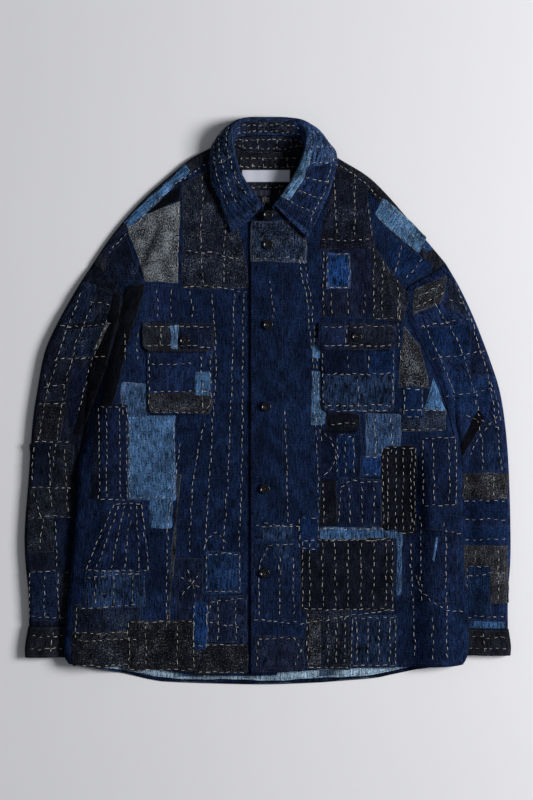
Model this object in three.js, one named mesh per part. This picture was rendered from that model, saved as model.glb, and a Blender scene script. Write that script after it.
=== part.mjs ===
// A patched cotton work jacket, buttoned up and laid flat on its back, the sleeves folded down beside
// the body. Millimetres: +X towards the wearer's left, +Y towards the collar, +Z up from the surface.
// Each piece is a cloth wall: a sheet of points thickened by half its wall to either side.
import * as THREE from 'three';

// ---- driving dimensions -------------------------------------------------------------------------
const CLOTH = 1.6;            // body and sleeve cloth, with its patches
const BAND = 2.2;             // collar and cuffs, two cloths and a stiffener
const GAP = 0.3;              // clearance between pieces that lie on each other
const SEAM = 0.6;             // clearance along a seam, measured between the middles of two walls
const REST = CLOTH / 2;       // middle of a layer that lies on the surface
const LAY = 8;                // middle of the upper layer where the body lies flat
const ROLL = 9;               // how far in from a folded edge the cloth is rounded
const ROLL_STEPS = [ROLL, 3, 0.7, 0];
const LIFT = 9.8;             // how far the sleeves under the body's sides raise them
const PLACKET_EDGE = -26;     // free edge of the upper front
const PLACKET_UNDER = 14;     // free edge of the front beneath it
const PLACKET_STEP = 2.4;     // how far the upper front rides over the lower one
const NECK_FRONT = 269;       // height of the neck seam at the front edge
const NECK_MIDDLE = 330;      // middle of the neck opening
const BUTTON = { radius: 7.5, height: 3 };
const LABEL = { x: [-37, 35], y: [330, 348], height: 0.8 };

// Outlines of each half, x measured outwards from the middle. Each list runs the way its name says.
const LEFT = {
  sign: 1,
  bulge: 5,
  shoulder: [[64, 391], [112, 362], [151, 338], [182, 308], [213, 272], [242, 238], [268, 207]],
  armhole: [[268, 207], [236, 187], [206, 166], [213, 122], [232, 84], [250, 50], [268, -5], [284, -46]],
  armholeBack: [[268, 207], [260, 172], [258, 110], [264, 30], [284, -46]],
  sleeveOuter: [[268, 207], [289, 170], [311, 122], [334, 62], [349, 14], [358, -45], [363, -118],
    [365, -226], [361, -290], [361, -341]],
  sleeveInner: [[285, -47], [296, -58], [302, -82], [299, -110], [280, -148], [264, -200], [256, -270],
    [256, -341]],
  cuffOuter: [[361, -342], [364.5, -366], [364, -381]],
  cuffInner: [[256, -342], [256, -366], [256, -381]],
  side: [[284, -46], [290, -73], [292, -150], [294, -240], [300, -298], [301, -345], [300, -378], [292, -394]],
  hem: [[PLACKET_EDGE, -409], [46, -405], [104, -401], [214, -398], [268, -397], [292, -394]],
  backHem: [[0, -425.5], [70, -423], [100, -421], [160, -416], [190, -410], [250, -398], [292, -394]],
  // collar stations from the middle of the back to the front end: seam with the stand, roll, fall, edge
  collar: [
    [[0, 399, 14], [0, 421, 25], [0, 424, 9], [0, 386, 1.6]],
    [[30, 398, 15], [31, 420, 26], [32, 423.5, 10], [34, 387, 1.6]],
    [[50, 392, 19], [52, 414, 33], [62, 416, 17], [68, 405, 2.4]],
    [[55, 374, 22], [59, 390, 36], [82, 395, 22], [93, 387, 5]],
    [[49, 350, 21], [51, 358, 34], [80, 358, 29], [104, 364, 17]],
    [[35, 323, 18], [37, 330, 28], [68, 322, 25], [94, 318, 18]],
    [[20, 301, 15], [21, 307, 21], [50, 291, 21], [78, 281, 16]],
    [[7, 288, 15], [9, 293, 18], [36, 268, 17.5], [61, 244, 14]],
  ],
  // neck seam under those stations, and one more for the end of the stand
  neck: [[0, 374, 4], [30, 376, 4.5], [52, 382, 6], [66, 374, 9.6], [65, 345, 10], [55, 319, 10.2],
    [41, 299, 10.6], [21, 280, 12.4], [-3, 276, 13.4]],
  standEnd: [-3, 286, 16],
};
const RIGHT = {
  sign: -1,
  bulge: 9,
  shoulder: [[64, 391], [112, 367], [148, 338], [182, 308], [213, 275], [240, 241], [263, 206]],
  armhole: [[263, 206], [240, 188], [217, 167], [221, 115], [230, 85], [240, 52], [258, -5], [275, -50]],
  armholeBack: [[263, 206], [256, 172], [254, 110], [258, 30], [275, -50]],
  sleeveOuter: [[263, 206], [286, 170], [313, 122], [334, 75], [346, 14], [353, -35], [359, -118],
    [365, -210], [359, -290], [358, -337]],
  sleeveInner: [[276, -51], [288, -62], [295, -84], [293, -112], [276, -150], [262, -200], [254, -270],
    [255, -337]],
  cuffOuter: [[358, -338], [363, -366], [363, -384]],
  cuffInner: [[255, -338], [256, -366], [256, -384]],
  side: [[275, -50], [281, -78], [284, -120], [287, -166], [293, -240], [299, -298], [304, -355], [304, -380],
    [297, -393]],
  hem: [[-PLACKET_UNDER, -411], [34, -412], [92, -411], [131, -407], [190, -399], [253, -395], [297, -393]],
  backHem: [[0, -425.5], [65, -424.5], [140, -422], [170, -419], [215, -409], [250, -402], [297, -393]],
  collar: [
    [[0, 399, 14], [0, 421, 25], [0, 424, 9], [0, 386, 1.6]],
    [[30, 398, 15], [31, 420, 26], [32, 423.5, 10], [34, 387, 1.6]],
    [[50, 394, 19], [53, 413, 32], [62, 415, 17], [68, 405, 2.4]],
    [[52, 380, 22], [56, 397, 35], [77, 396, 24], [88, 388, 5]],
    [[45, 356, 21], [48, 371, 34], [72, 362, 29], [92, 364, 17]],
    [[36, 333, 18], [39, 344, 29], [62, 336, 26], [84, 328, 17]],
    [[24, 309, 14], [26, 318, 22], [50, 303, 20], [72, 300, 15]],
    [[6, 288, 14], [6, 293, 17], [30, 269, 16], [54, 252, 13]],
  ],
  neck: [[0, 374, 4], [30, 376, 4.5], [52, 382, 6], [66, 374, 9.4], [65, 345, 9.6], [55, 319, 9.8],
    [41, 299, 9.8], [21, 280, 9.9], [-3, 276, 10]],
  standEnd: [-3, 285, 12.4],
};
const SLEEVE_FILL = 5.5;      // how much higher a sleeve lies beside the body than under it
const YOKE_DIP = 100;         // the back yoke seam falls this much from the middle to the armhole
const YOKE_MIDDLE = 272;
const YOKE_WIDTH = 260;
const YOKE_STRIP = [4, -22];  // from the shoulder's neck end down to the front seam of the yoke

// Soft ridges (positive) and troughs, as two ends, half width and height of each, x with its sign.
const CREASES = [
  [-150, 272, -192, 168, 20, 5],
  [-205, 120, -262, -70, 26, 4],
  [184, -88, 259, -283, 20, -2.6],
  [-150, -120, -200, -330, 24, 2.2],
  [60, -210, 120, -390, 26, 1.8],
  [196, 150, 205, -20, 24, 2.4],
  [120, 300, 190, 150, 24, 2.2],
];
// Pockets by their flap and bag outlines; the flap's button sits at its own place.
const POCKETS = {
  left: { flap: [76, 193, 76, 119], bag: [80, 191, -17, 104], corner: 14, button: [134, 97] },
  right: { flap: [-187, -80, 74, 118], bag: [-181, -82, -20, 104], corner: 16, button: [-124, 91] },
};
const PLACKET_BUTTONS = [[1, 235], [1, 115], [-2, -8], [-4, -131], [-4, -257]];
const STAND_BUTTON = [1, 279];
const NAVY = 0x1c2c4e;
const BLUE = 0x2b4a78;
const CHARCOAL = 0x2b2f3a;
const BLACK = 0x0c0d10;

// ---- small mathematics ----------------------------------------------------------------------------
const mix = (a, b, t) => a + (b - a) * t;
const smooth = (from, to, x) => {
  const t = Math.min(1, Math.max(0, (x - from) / (to - from)));
  return t * t * (3 - 2 * t);
};
// A quarter ellipse: 0 at the fold, 1 where the cloth runs flat again.
const quarter = (t) => Math.sqrt(1 - (1 - Math.min(1, t)) ** 2);
const vector = ([x, y, z = 0]) => new THREE.Vector3(x, y, z);
const spline = (points) => new THREE.CatmullRomCurve3(points.map(vector), false, 'catmullrom', 0.5);
const blend = (a, b, t) => a.clone().lerp(b, t);

// Distance in plan from a point to a line of points.
function distance(x, y, line) {
  let best = Infinity;
  for (let i = 1; i < line.length; i += 1) {
    const a = line[i - 1];
    const b = line[i];
    const dx = b.x - a.x;
    const dy = b.y - a.y;
    const t = Math.min(1, Math.max(0, ((x - a.x) * dx + (y - a.y) * dy) / (dx * dx + dy * dy)));
    best = Math.min(best, Math.hypot(x - a.x - dx * t, y - a.y - dy * t));
  }
  return best;
}

for (const half of [LEFT, RIGHT]) {
  half.shoulderLine = spline(half.shoulder).getSpacedPoints(24);
  half.sideLine = spline(half.side).getSpacedPoints(36);
  half.armholeCurve = spline(half.armhole);
}

// ---- how the laid cloth lies ------------------------------------------------------------------------
// x is measured outwards in one half, y along the body.
const liftAt = (x, y) => LIFT * smooth(216, 246, x) * smooth(-60, -98, y);

function sideX(half, y) {
  const line = half.sideLine;
  const next = line.findIndex((p) => p.y <= y);
  return next < 0 ? line.at(-1).x : line[next].x;
}

// Middle of the upper layer before its edges are rounded.
function layHeight(half, x, y) {
  const fromBulge = (x - (sideX(half, y) - 46)) / 38;
  let z = LAY + liftAt(x, y) + half.bulge * Math.exp(-(fromBulge ** 2)) * smooth(240, 120, y);
  z += 2.6 * Math.exp(-((Math.hypot(x, y - 330) / 110) ** 2));
  for (const [ax, ay, bx, by, width, height] of CREASES) {
    const line = [vector([ax, ay]), vector([bx, by])];
    z += height * Math.exp(-((distance(x * half.sign, y, line) / width) ** 2));
  }
  return z;
}

function foldDistance(half, x, y) {
  return Math.min(distance(x, y, half.sideLine), distance(x, y, half.shoulderLine));
}

function middleHeight(half, x, y) {
  return (layHeight(half, x, y) + REST + liftAt(x, y)) / 2;
}

function topHeight(half, x, y) {
  const middle = middleHeight(half, x, y);
  return mix(middle, layHeight(half, x, y), quarter(foldDistance(half, x, y) / ROLL));
}

function underHeight(half, x, y) {
  const middle = middleHeight(half, x, y);
  return mix(middle, REST + liftAt(x, y), quarter(foldDistance(half, x, y) / ROLL));
}

const placketStep = (x) => PLACKET_STEP * smooth(52, 18, x);

// ---- cloth walls --------------------------------------------------------------------------------------
// A closed wall around a sheet of quads: its points moved out and in along their normals, and an edge
// face wherever only one quad meets an edge.
function wall(points, quads, thickness) {
  const normals = points.map(() => new THREE.Vector3());
  for (const [a, b, c, d] of quads) {
    const n = points[c].clone().sub(points[a]).cross(points[d].clone().sub(points[b]));
    for (const i of [a, b, c, d]) normals[i].add(n);
  }
  const place = new Map();
  const positions = [];
  for (const i of new Set(quads.flat())) {
    place.set(i, place.size);
    const n = normals[i].normalize().multiplyScalar(thickness / 2);
    positions.push(...points[i].clone().add(n).toArray(), ...points[i].clone().sub(n).toArray());
  }
  const outer = (i) => 2 * place.get(i);
  const inner = (i) => 2 * place.get(i) + 1;
  const edges = new Set(quads.flatMap(([a, b, c, d]) => [`${a}_${b}`, `${b}_${c}`, `${c}_${d}`, `${d}_${a}`]));
  const index = [];
  for (const [a, b, c, d] of quads) {
    index.push(outer(a), outer(b), outer(c), outer(a), outer(c), outer(d));
    index.push(inner(a), inner(c), inner(b), inner(a), inner(d), inner(c));
    for (const [from, to] of [[a, b], [b, c], [c, d], [d, a]]) {
      if (edges.has(`${to}_${from}`)) continue;
      index.push(outer(to), outer(from), inner(from), outer(to), inner(from), inner(to));
    }
  }
  const geometry = new THREE.BufferGeometry();
  geometry.setAttribute('position', new THREE.Float32BufferAttribute(positions, 3));
  geometry.setIndex(index);
  geometry.computeVertexNormals();
  return geometry;
}

// The quads of a grid of rows of points, turned over where the half is mirrored, closed for a tube.
function gridWall(rows, thickness, { flip = false, closed = false, use = () => true } = {}) {
  const width = rows[0].length;
  const quads = [];
  for (let i = 0; i + 1 < rows.length; i += 1) {
    for (let j = 0; j + (closed ? 0 : 1) < width; j += 1) {
      if (!use(i, j)) continue;
      const k = (j + 1) % width;
      const quad = [i * width + j, i * width + k, (i + 1) * width + k, (i + 1) * width + j];
      quads.push(flip ? quad.reverse() : quad);
    }
  }
  return wall(rows.flat(), quads, thickness);
}

// Position along a line of points at a share of its length, straight between its points.
function along(line, share) {
  const lengths = [0];
  for (let i = 1; i < line.length; i += 1) lengths.push(lengths[i - 1] + line[i].distanceTo(line[i - 1]));
  const wanted = share * lengths.at(-1);
  const next = Math.max(1, lengths.findIndex((length) => length >= wanted - 1e-9));
  return blend(line[next - 1], line[next], (wanted - lengths[next - 1]) / (lengths[next] - lengths[next - 1]));
}

function shares(line) {
  const lengths = [0];
  for (let i = 1; i < line.length; i += 1) lengths.push(lengths[i - 1] + line[i].distanceTo(line[i - 1]));
  return lengths.map((length) => length / lengths.at(-1));
}

// A point of a panel between four edges: bottom and top run outwards, near and far are the points of
// its two upright edges at this level.
function panelPoint(bottom, top, near, far, u, v) {
  const point = blend(along(bottom, u), along(top, u), v);
  const nearShift = near.clone().sub(blend(bottom[0], top[0], v));
  const farShift = far.clone().sub(blend(bottom.at(-1), top.at(-1), v));
  return point.addScaledVector(nearShift, (1 - u) ** 3).addScaledVector(farShift, u ** 3);
}

const group = new THREE.Group();

function piece(name, geometry, color, roughness = 0.9, half = null) {
  const material = new THREE.MeshStandardMaterial({ color, roughness, metalness: 0 });
  const mesh = new THREE.Mesh(geometry, material);
  mesh.name = name;
  if (half?.sign < 0) {
    geometry.scale(-1, 1, 1);
    geometry.setIndex([...geometry.index.array].reverse());
  }
  group.add(mesh);
}

// ---- armhole samples shared by the front, the yoke and the sleeve ---------------------------------------
const ARMHOLE_TOP = [0, 0.015, 0.04, 0.075];
const ARMHOLE_FRONT = [0.075, 0.16, 0.245, 0.33, 0.42, 0.5, 0.58, 0.66, 0.74, 0.82, 0.89, 0.945, 0.98, 1];
const SHOULDER_SHARES = [0, 0.2, 0.4, 0.6, 0.8, 1];

function armholePoint(half, share) {
  return half.armholeCurve.getPointAt(share);
}

// The yoke's front seam at a share of the shoulder, from the neck to the armhole.
function yokeSeam(half, share) {
  const atArmhole = armholePoint(half, ARMHOLE_TOP.at(-1)).sub(half.shoulderLine.at(-1));
  return along(half.shoulderLine, share).add(blend(vector(YOKE_STRIP), atArmhole, share));
}

function neckPoints(half, from, to, count) {
  const curve = spline(half.neck);
  const steps = half.neck.length - 1;
  return Array.from({ length: count + 1 }, (_, i) => curve.getPoint(mix(from, to, i / count) / steps));
}

// ---- fronts ---------------------------------------------------------------------------------------------
// A front runs from its free edge to the side fold and the armhole, and up to the neck and the yoke.
function front(half, freeEdge, step) {
  const flat = (points) => points.map((p) => new THREE.Vector3(p.x, p.y, 0));
  const neck = flat(neckPoints(half, 3, 7, 8)).reverse();
  neck[neck.length - 1] = yokeSeam(half, 0);
  neck.unshift(new THREE.Vector3(freeEdge, NECK_FRONT, 0));
  const seam = SHOULDER_SHARES.slice(1).map((share) => yokeSeam(half, share));
  const neckMiddle = new THREE.Vector3(0, NECK_MIDDLE, 0);
  const top = [
    ...neck.slice(0, -1).map((p) => p.clone().add(p.clone().sub(neckMiddle).setLength(SEAM))),
    neck.at(-1).clone().add(new THREE.Vector3(SEAM, -SEAM, 0)),
    ...seam.map((p) => p.clone().add(new THREE.Vector3(0, -SEAM, 0))),
  ];
  top[0].x = freeEdge;
  const armhole = ARMHOLE_FRONT.map((share) => armholePoint(half, share)).reverse();
  armhole[armhole.length - 1] = top.at(-1).clone();
  const side = spline(half.side).getSpacedPoints(9).reverse();
  const far = [...side, ...armhole.slice(1)];
  const bottom = spline(half.hem).getSpacedPoints(12);
  bottom[0].x = freeEdge;
  const near = [bottom[0], top[0]];
  far[0] = bottom.at(-1).clone();
  const levels = shares(far);
  const columns = shares(top);
  const rows = levels.map((v, i) => {
    const length = along(near, v).distanceTo(far[i]);
    const inner = columns.filter((u) => u < 1 - 1.5 * ROLL / length);
    return [inner, ROLL_STEPS.map((d) => 1 - d / length)].flat();
  });
  const width = Math.min(...rows.map((row) => row.length));
  const kept = ROLL_STEPS.length;
  const grid = rows.map((row, i) => {
    const taken = [...row.slice(0, width - kept), ...row.slice(-kept)];
    return taken.map((u, j) => {
      const p = panelPoint(bottom, top, along(near, levels[i]), far[i], u, levels[i]);
      const z = topHeight(half, p.x, p.y) + (step ? placketStep(p.x) : 0);
      const onSideFold = j === taken.length - 1 && p.y <= half.side[0][1];
      return p.setZ(z + (onSideFold ? SEAM : 0));
    });
  });
  half.front = grid;
  return gridWall(grid, CLOTH);
}
piece('front_left', front(LEFT, PLACKET_EDGE, true), NAVY, 0.9, LEFT);
piece('front_right', front(RIGHT, -PLACKET_UNDER, false), BLUE, 0.9, RIGHT);

// Height of a front's middle at a place, read from its own flat faces.
function frontHeight(half, x, y) {
  const side = (a, b) => (b.x - a.x) * (y - a.y) - (b.y - a.y) * (x - a.x);
  const grid = half.front;
  for (let i = 0; i + 1 < grid.length; i += 1) {
    for (let j = 0; j + 1 < grid[i].length; j += 1) {
      const [a, b, c, d] = [grid[i][j], grid[i][j + 1], grid[i + 1][j + 1], grid[i + 1][j]];
      for (const [p, q, r] of [[a, b, c], [a, c, d]]) {
        const weights = [side(q, r), side(r, p), side(p, q)];
        if (Math.min(...weights) < -1e-6) continue;
        const total = weights[0] + weights[1] + weights[2];
        return (weights[0] * p.z + weights[1] * q.z + weights[2] * r.z) / total;
      }
    }
  }
  throw new Error(`no front at ${x}, ${y}`);
}

// ---- back panel -------------------------------------------------------------------------------------------
const yokeBack = (x) => YOKE_MIDDLE - YOKE_DIP * (x / YOKE_WIDTH) ** 2;

function backPanel() {
  const edge = (half) => {
    const armhole = spline(half.armholeBack);
    const sewn = [0.8, 0.6, 0.4, 0.27, 0.14].map((share) => armhole.getPointAt(share));
    sewn.at(-1).y = yokeBack(sewn.at(-1).x);
    const side = spline(half.side).getSpacedPoints(9).reverse();
    for (const p of sewn) p.x -= 1.5 * SEAM;
    return [...side, ...sewn].map((p) => new THREE.Vector3(p.x * half.sign, p.y, 0));
  };
  const near = edge(RIGHT);
  const far = edge(LEFT);
  const hem = [...RIGHT.backHem.map(([x, y]) => [-x, y]).reverse(), ...LEFT.backHem.slice(1)];
  const bottom = spline(hem).getSpacedPoints(24);
  const top = Array.from({ length: 17 }, (_, i) => {
    const x = mix(near.at(-1).x, far.at(-1).x, i / 16);
    return new THREE.Vector3(x, yokeBack(x), 0);
  });
  near[0] = bottom[0].clone();
  far[0] = bottom.at(-1).clone();
  const levels = shares(far);
  const middle = Array.from({ length: 11 }, (_, j) => mix(0.08, 0.92, j / 10));
  const rows = levels.map((v, i) => {
    const fold = ROLL_STEPS.map((d) => d / near[i].distanceTo(far[i])).reverse();
    return [...fold, ...middle, ...fold.map((u) => 1 - u).reverse()].map((u, j, all) => {
      const p = panelPoint(bottom, top, near[i], far[i], u, v);
      const half = p.x < 0 ? RIGHT : LEFT;
      const onSideFold = (j === 0 || j === all.length - 1) && p.y <= half.side[0][1];
      return p.setZ(underHeight(half, Math.abs(p.x), p.y) - (onSideFold ? SEAM : 0));
    });
  });
  return gridWall(rows, CLOTH);
}
piece('back_panel', backPanel(), NAVY);

// ---- back yoke ----------------------------------------------------------------------------------------------
// One cloth from the back seam up to the neck and, at the shoulders, round the fold to the front seam.
function yoke() {
  const under = [0, 0.4, 0.75];
  const over = [0.2, 0.52, 1];
  const column = (half, share) => {
    const fold = along(half.shoulderLine, share);
    const startX = mix(58, half.armholeBack[1][0] - SEAM, share);
    const start = new THREE.Vector3(startX, yokeBack(startX) + SEAM, 0);
    const length = start.distanceTo(fold);
    const flats = [...under.map((t) => t * (1 - ROLL / length)), 1 - ROLL / length, 1 - 3 / length];
    const lower = flats.map((t) => blend(start, fold, t));
    const upper = over.map((t) => blend(fold, yokeSeam(half, share), t));
    for (const p of lower) p.z = underHeight(half, p.x, p.y);
    for (const p of upper) p.z = topHeight(half, p.x, p.y);
    const onFold = fold.clone().setZ(middleHeight(half, fold.x, fold.y));
    return [...lower, onFold, ...upper].map((p) => p.setX(p.x * half.sign));
  };
  const neckColumn = (half, share) => {
    const end = neckPoints(half, 0, 2, 1)[0];
    const target = spline(half.neck).getPoint((share * 2.4) / (half.neck.length - 1));
    const point = share === 0 ? end : target;
    point.y -= SEAM;
    const start = new THREE.Vector3(58 * share, yokeBack(58 * share) + SEAM, REST);
    const steps = [...under.map((t) => t * 0.9), 0.9, 0.95, 1];
    const rows = steps.map((t) => {
      const p = blend(start, point, t);
      return p.setZ(mix(REST, point.z, smooth(0.9, 1, t)));
    });
    return [...rows, ...over.map(() => point)].map((p) => p.clone().setX(p.x * half.sign));
  };
  const shoulder = [0, 0.1, 0.2, 0.3, 0.4, 0.5, 0.6, 0.7, 0.8, 0.9, 1];
  const neck = [0.3, 0.6, 0.85];
  const columns = [
    ...shoulder.map((share) => column(RIGHT, share)).reverse(),
    ...neck.map((share) => neckColumn(RIGHT, share)).reverse(),
    neckColumn(LEFT, 0),
    ...neck.map((share) => neckColumn(LEFT, share)),
    ...shoulder.map((share) => column(LEFT, share)),
  ];
  const rowCount = columns[0].length;
  const foldRow = rowCount - 1 - over.length;
  const first = shoulder.length - 1;
  const last = columns.length - shoulder.length;
  const rows = Array.from({ length: rowCount }, (_, i) => columns.map((points) => points[i]));
  const use = (i, j) => i < foldRow || j < first || j >= last;
  return gridWall(rows, CLOTH, { flip: true, use });
}
piece('back_yoke', yoke(), CHARCOAL);

// ---- sleeves and cuffs ----------------------------------------------------------------------------------------
// Rings of a flattened tube: over the top from the outer fold to the inner one, back along the surface.
const SLEEVE_TOP = [...ARMHOLE_TOP.slice(0, -1), ...ARMHOLE_FRONT];
const SLEEVE_UNDER = [0.975, 0.9, 0.7, 0.45, 0.22, 0.08, 0.025];

// A sleeve lies low where it passes under the body and fills out beside it.
function sleeveHeight(half, x, y) {
  const besideBody = x - sideX(half, y) + 0.6 * Math.max(0, y - half.side[0][1]);
  return LAY + SLEEVE_FILL * smooth(6, 30, besideBody);
}

function ringHeight(s, width, high, rest) {
  const edge = quarter(Math.min(s, 1 - s) * width / ROLL);
  const middle = (high + rest) / 2;
  return { over: mix(middle, high, edge), under: mix(middle, rest, edge) };
}

function sleeve(half) {
  const outer = spline(half.sleeveOuter);
  const inner = spline(half.sleeveInner);
  const backCurve = spline(half.armholeBack);
  const levels = [0, 0.06, 0.13, 0.21, 0.3, 0.4, 0.5, 0.6, 0.72, 0.86, 1];
  const rows = levels.map((u) => {
    const o = outer.getPointAt(u);
    const i = inner.getPointAt(u);
    const width = o.distanceTo(i);
    const keep = 1 - smooth(0, 0.5, u);
    const settle = smooth(0, 0.2, u);
    const ring = (s, seamCurve, over) => {
      const seam = seamCurve.getPointAt(s);
      const tangent = seamCurve.getTangentAt(s);
      const chord = blend(half.shoulderLine.at(-1), inner.getPoint(0), s);
      const p = blend(o, i, s).add(seam.clone().sub(chord).multiplyScalar(keep));
      p.add(new THREE.Vector3(-tangent.y, tangent.x, 0).multiplyScalar((SEAM + 0.8 * s ** 4) * keep));
      const free = ringHeight(s, width, sleeveHeight(half, p.x, p.y), REST)[over ? 'over' : 'under'];
      const sewn = over ? topHeight(half, seam.x, seam.y) : underHeight(half, seam.x, seam.y);
      return p.setZ(mix(sewn, free, settle));
    };
    const over = SLEEVE_TOP.map((s) => ring(s, half.armholeCurve, true));
    const under = SLEEVE_UNDER.map((s) => ring(s, backCurve, false));
    return [...over, ...under];
  });
  return gridWall(rows, CLOTH, { closed: true, flip: true });
}

function cuff(half) {
  const outer = spline(half.cuffOuter);
  const inner = spline(half.cuffInner);
  const over = [0, 0.03, 0.09, 0.2, 0.34, 0.48, 0.62, 0.76, 0.91, 0.97, 1];
  const rows = [0, 0.5, 1].map((u) => {
    const o = outer.getPoint(u);
    const i = inner.getPoint(u);
    const width = o.distanceTo(i);
    const ring = (s, top) => {
      const p = blend(o, i, s);
      const height = ringHeight(s, width, sleeveHeight(half, p.x, p.y), BAND / 2);
      return p.setZ(top ? height.over : height.under);
    };
    return [...over.map((s) => ring(s, true)), ...SLEEVE_UNDER.map((s) => ring(s, false))];
  });
  return gridWall(rows, BAND, { closed: true, flip: true });
}
piece('sleeve_left', sleeve(LEFT), BLUE, 0.9, LEFT);
piece('sleeve_right', sleeve(RIGHT), NAVY, 0.9, RIGHT);
piece('cuff_left', cuff(LEFT), CHARCOAL, 0.9, LEFT);
piece('cuff_right', cuff(RIGHT), CHARCOAL, 0.9, RIGHT);

// ---- collar -----------------------------------------------------------------------------------------------------
const STEPS_PER_STATION = 2;
const STAND_INSET = 2;      // from the neck seam to the stand's own edge, along its slope

// Curves along the collar, one through each column of the stations, from the right front end to the left.
function collarCurve(pick) {
  const signed = (half) => half.collar.map((station) => {
    const [x, y, z] = pick(station);
    return [x * half.sign, y, z];
  });
  return spline([...signed(RIGHT).reverse(), ...signed(LEFT).slice(1)]);
}

function collarFall() {
  const curves = [0, 1, 2, 3].map((k) => collarCurve((station) => station[k]));
  const count = (LEFT.collar.length - 1) * 2 * STEPS_PER_STATION;
  const rows = Array.from({ length: count + 1 }, (_, i) => {
    const section = new THREE.CatmullRomCurve3(curves.map((curve) => curve.getPoint(i / count)), false,
      'centripetal');
    return section.getPoints(8);
  });
  return gridWall(rows, BAND);
}

function collarStand() {
  const neckCurve = (half) => half.neck.map(([x, y, z]) => [x * half.sign, y, z]);
  const topCurve = (half) => [...half.collar.map((station) => station[0]), half.standEnd]
    .map(([x, y, z]) => [x * half.sign, y, z]);
  const whole = (curve) => spline([...curve(RIGHT).reverse(), ...curve(LEFT).slice(1)]);
  const low = whole(neckCurve);
  const high = whole(topCurve);
  const count = (LEFT.neck.length - 1) * 2 * STEPS_PER_STATION;
  const rows = Array.from({ length: count + 1 }, (_, i) => {
    const a = low.getPoint(i / count);
    const b = high.getPoint(i / count);
    const length = a.distanceTo(b);
    return [STAND_INSET / length, 0.5, 1 - (BAND / 2 + GAP) / length].map((t) => blend(a, b, t));
  });
  return gridWall(rows, BAND);
}
piece('collar_fall', collarFall(), BLUE);
piece('collar_stand', collarStand(), CHARCOAL);

// ---- pockets ----------------------------------------------------------------------------------------------------
// A patch of cloth lying on a front, its lower corners rounded, raised clear of what it lies on.
function laidPatch([x0, x1, y0, y1], corner, half, raise, columnsCount, rowsCount) {
  const columns = Array.from({ length: columnsCount + 1 }, (_, i) => (1 - Math.cos(Math.PI * i / columnsCount)) / 2);
  const rows = Array.from({ length: rowsCount + 1 }, (_, j) => columns.map((share) => {
    const x = mix(x0, x1, share);
    const inward = Math.max(0, corner - Math.min(x - x0, x1 - x));
    const low = y0 + corner - Math.sqrt(corner ** 2 - inward ** 2);
    const y = mix(low, y1, j / rowsCount);
    return new THREE.Vector3(x, y, frontHeight(half, Math.abs(x), y) + raise(y));
  }));
  return gridWall(rows, CLOTH);
}
const POCKET_RAISE = CLOTH + GAP + 0.5;

for (const [name, half] of [['left', LEFT], ['right', RIGHT]]) {
  const { flap, bag, corner } = POCKETS[name];
  piece(`pocket_${name}`, laidPatch(bag, corner, half, () => POCKET_RAISE, 8, 6), BLUE);
  const flapRaise = (y) => POCKET_RAISE * (1 + smooth(bag[3] + 12, bag[3] + 2, y)) + 0.4;
  piece(`pocket_flap_${name}`, laidPatch(flap, corner - 2, half, flapRaise, 8, 5), CHARCOAL);
}

// ---- buttons, label and tabs ---------------------------------------------------------------------------------------
function button(name, [x, y], z) {
  const { radius, height } = BUTTON;
  const profile = [[0, 0], [radius - 1, 0], [radius, 0.9], [radius, height - 0.8], [radius - 0.9, height],
    [radius - 2.6, height - 0.7], [0, height - 0.7]];
  const geometry = new THREE.LatheGeometry(profile.map(([r, h]) => new THREE.Vector2(r, h)), 12);
  geometry.rotateX(Math.PI / 2);
  geometry.translate(x, y, z);
  piece(name, geometry, BLACK, 0.25);
}
const BUTTON_CLEAR = 0.6;
PLACKET_BUTTONS.forEach(([x, y], i) => {
  button(`button_${i + 1}`, [x, y], frontHeight(LEFT, x, y) + CLOTH / 2 + BUTTON_CLEAR);
});
button('button_stand', STAND_BUTTON, 18.2);
for (const [name, half] of [['left', LEFT], ['right', RIGHT]]) {
  const [x, y] = POCKETS[name].button;
  const top = frontHeight(half, Math.abs(x), y) + 2 * POCKET_RAISE + 0.4 + CLOTH / 2;
  button(`button_pocket_${name}`, [x, y], top + BUTTON_CLEAR);
}

function tab(name, [x0, x1], [y0, y1], height, color) {
  const geometry = new THREE.BoxGeometry(x1 - x0, y1 - y0, height);
  geometry.translate((x0 + x1) / 2, (y0 + y1) / 2, CLOTH + GAP + height / 2);
  piece(name, geometry, color, 0.7);
}
tab('neck_label', LABEL.x, LABEL.y, LABEL.height, 0xd8dae6);
tab('size_tab', [-22, 4], [309, 318], 0.8, 0x1d2f66);
tab('care_tab', [-8, 3], [299, 307], 0.8, 0x8c8f98);

export default group;
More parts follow.
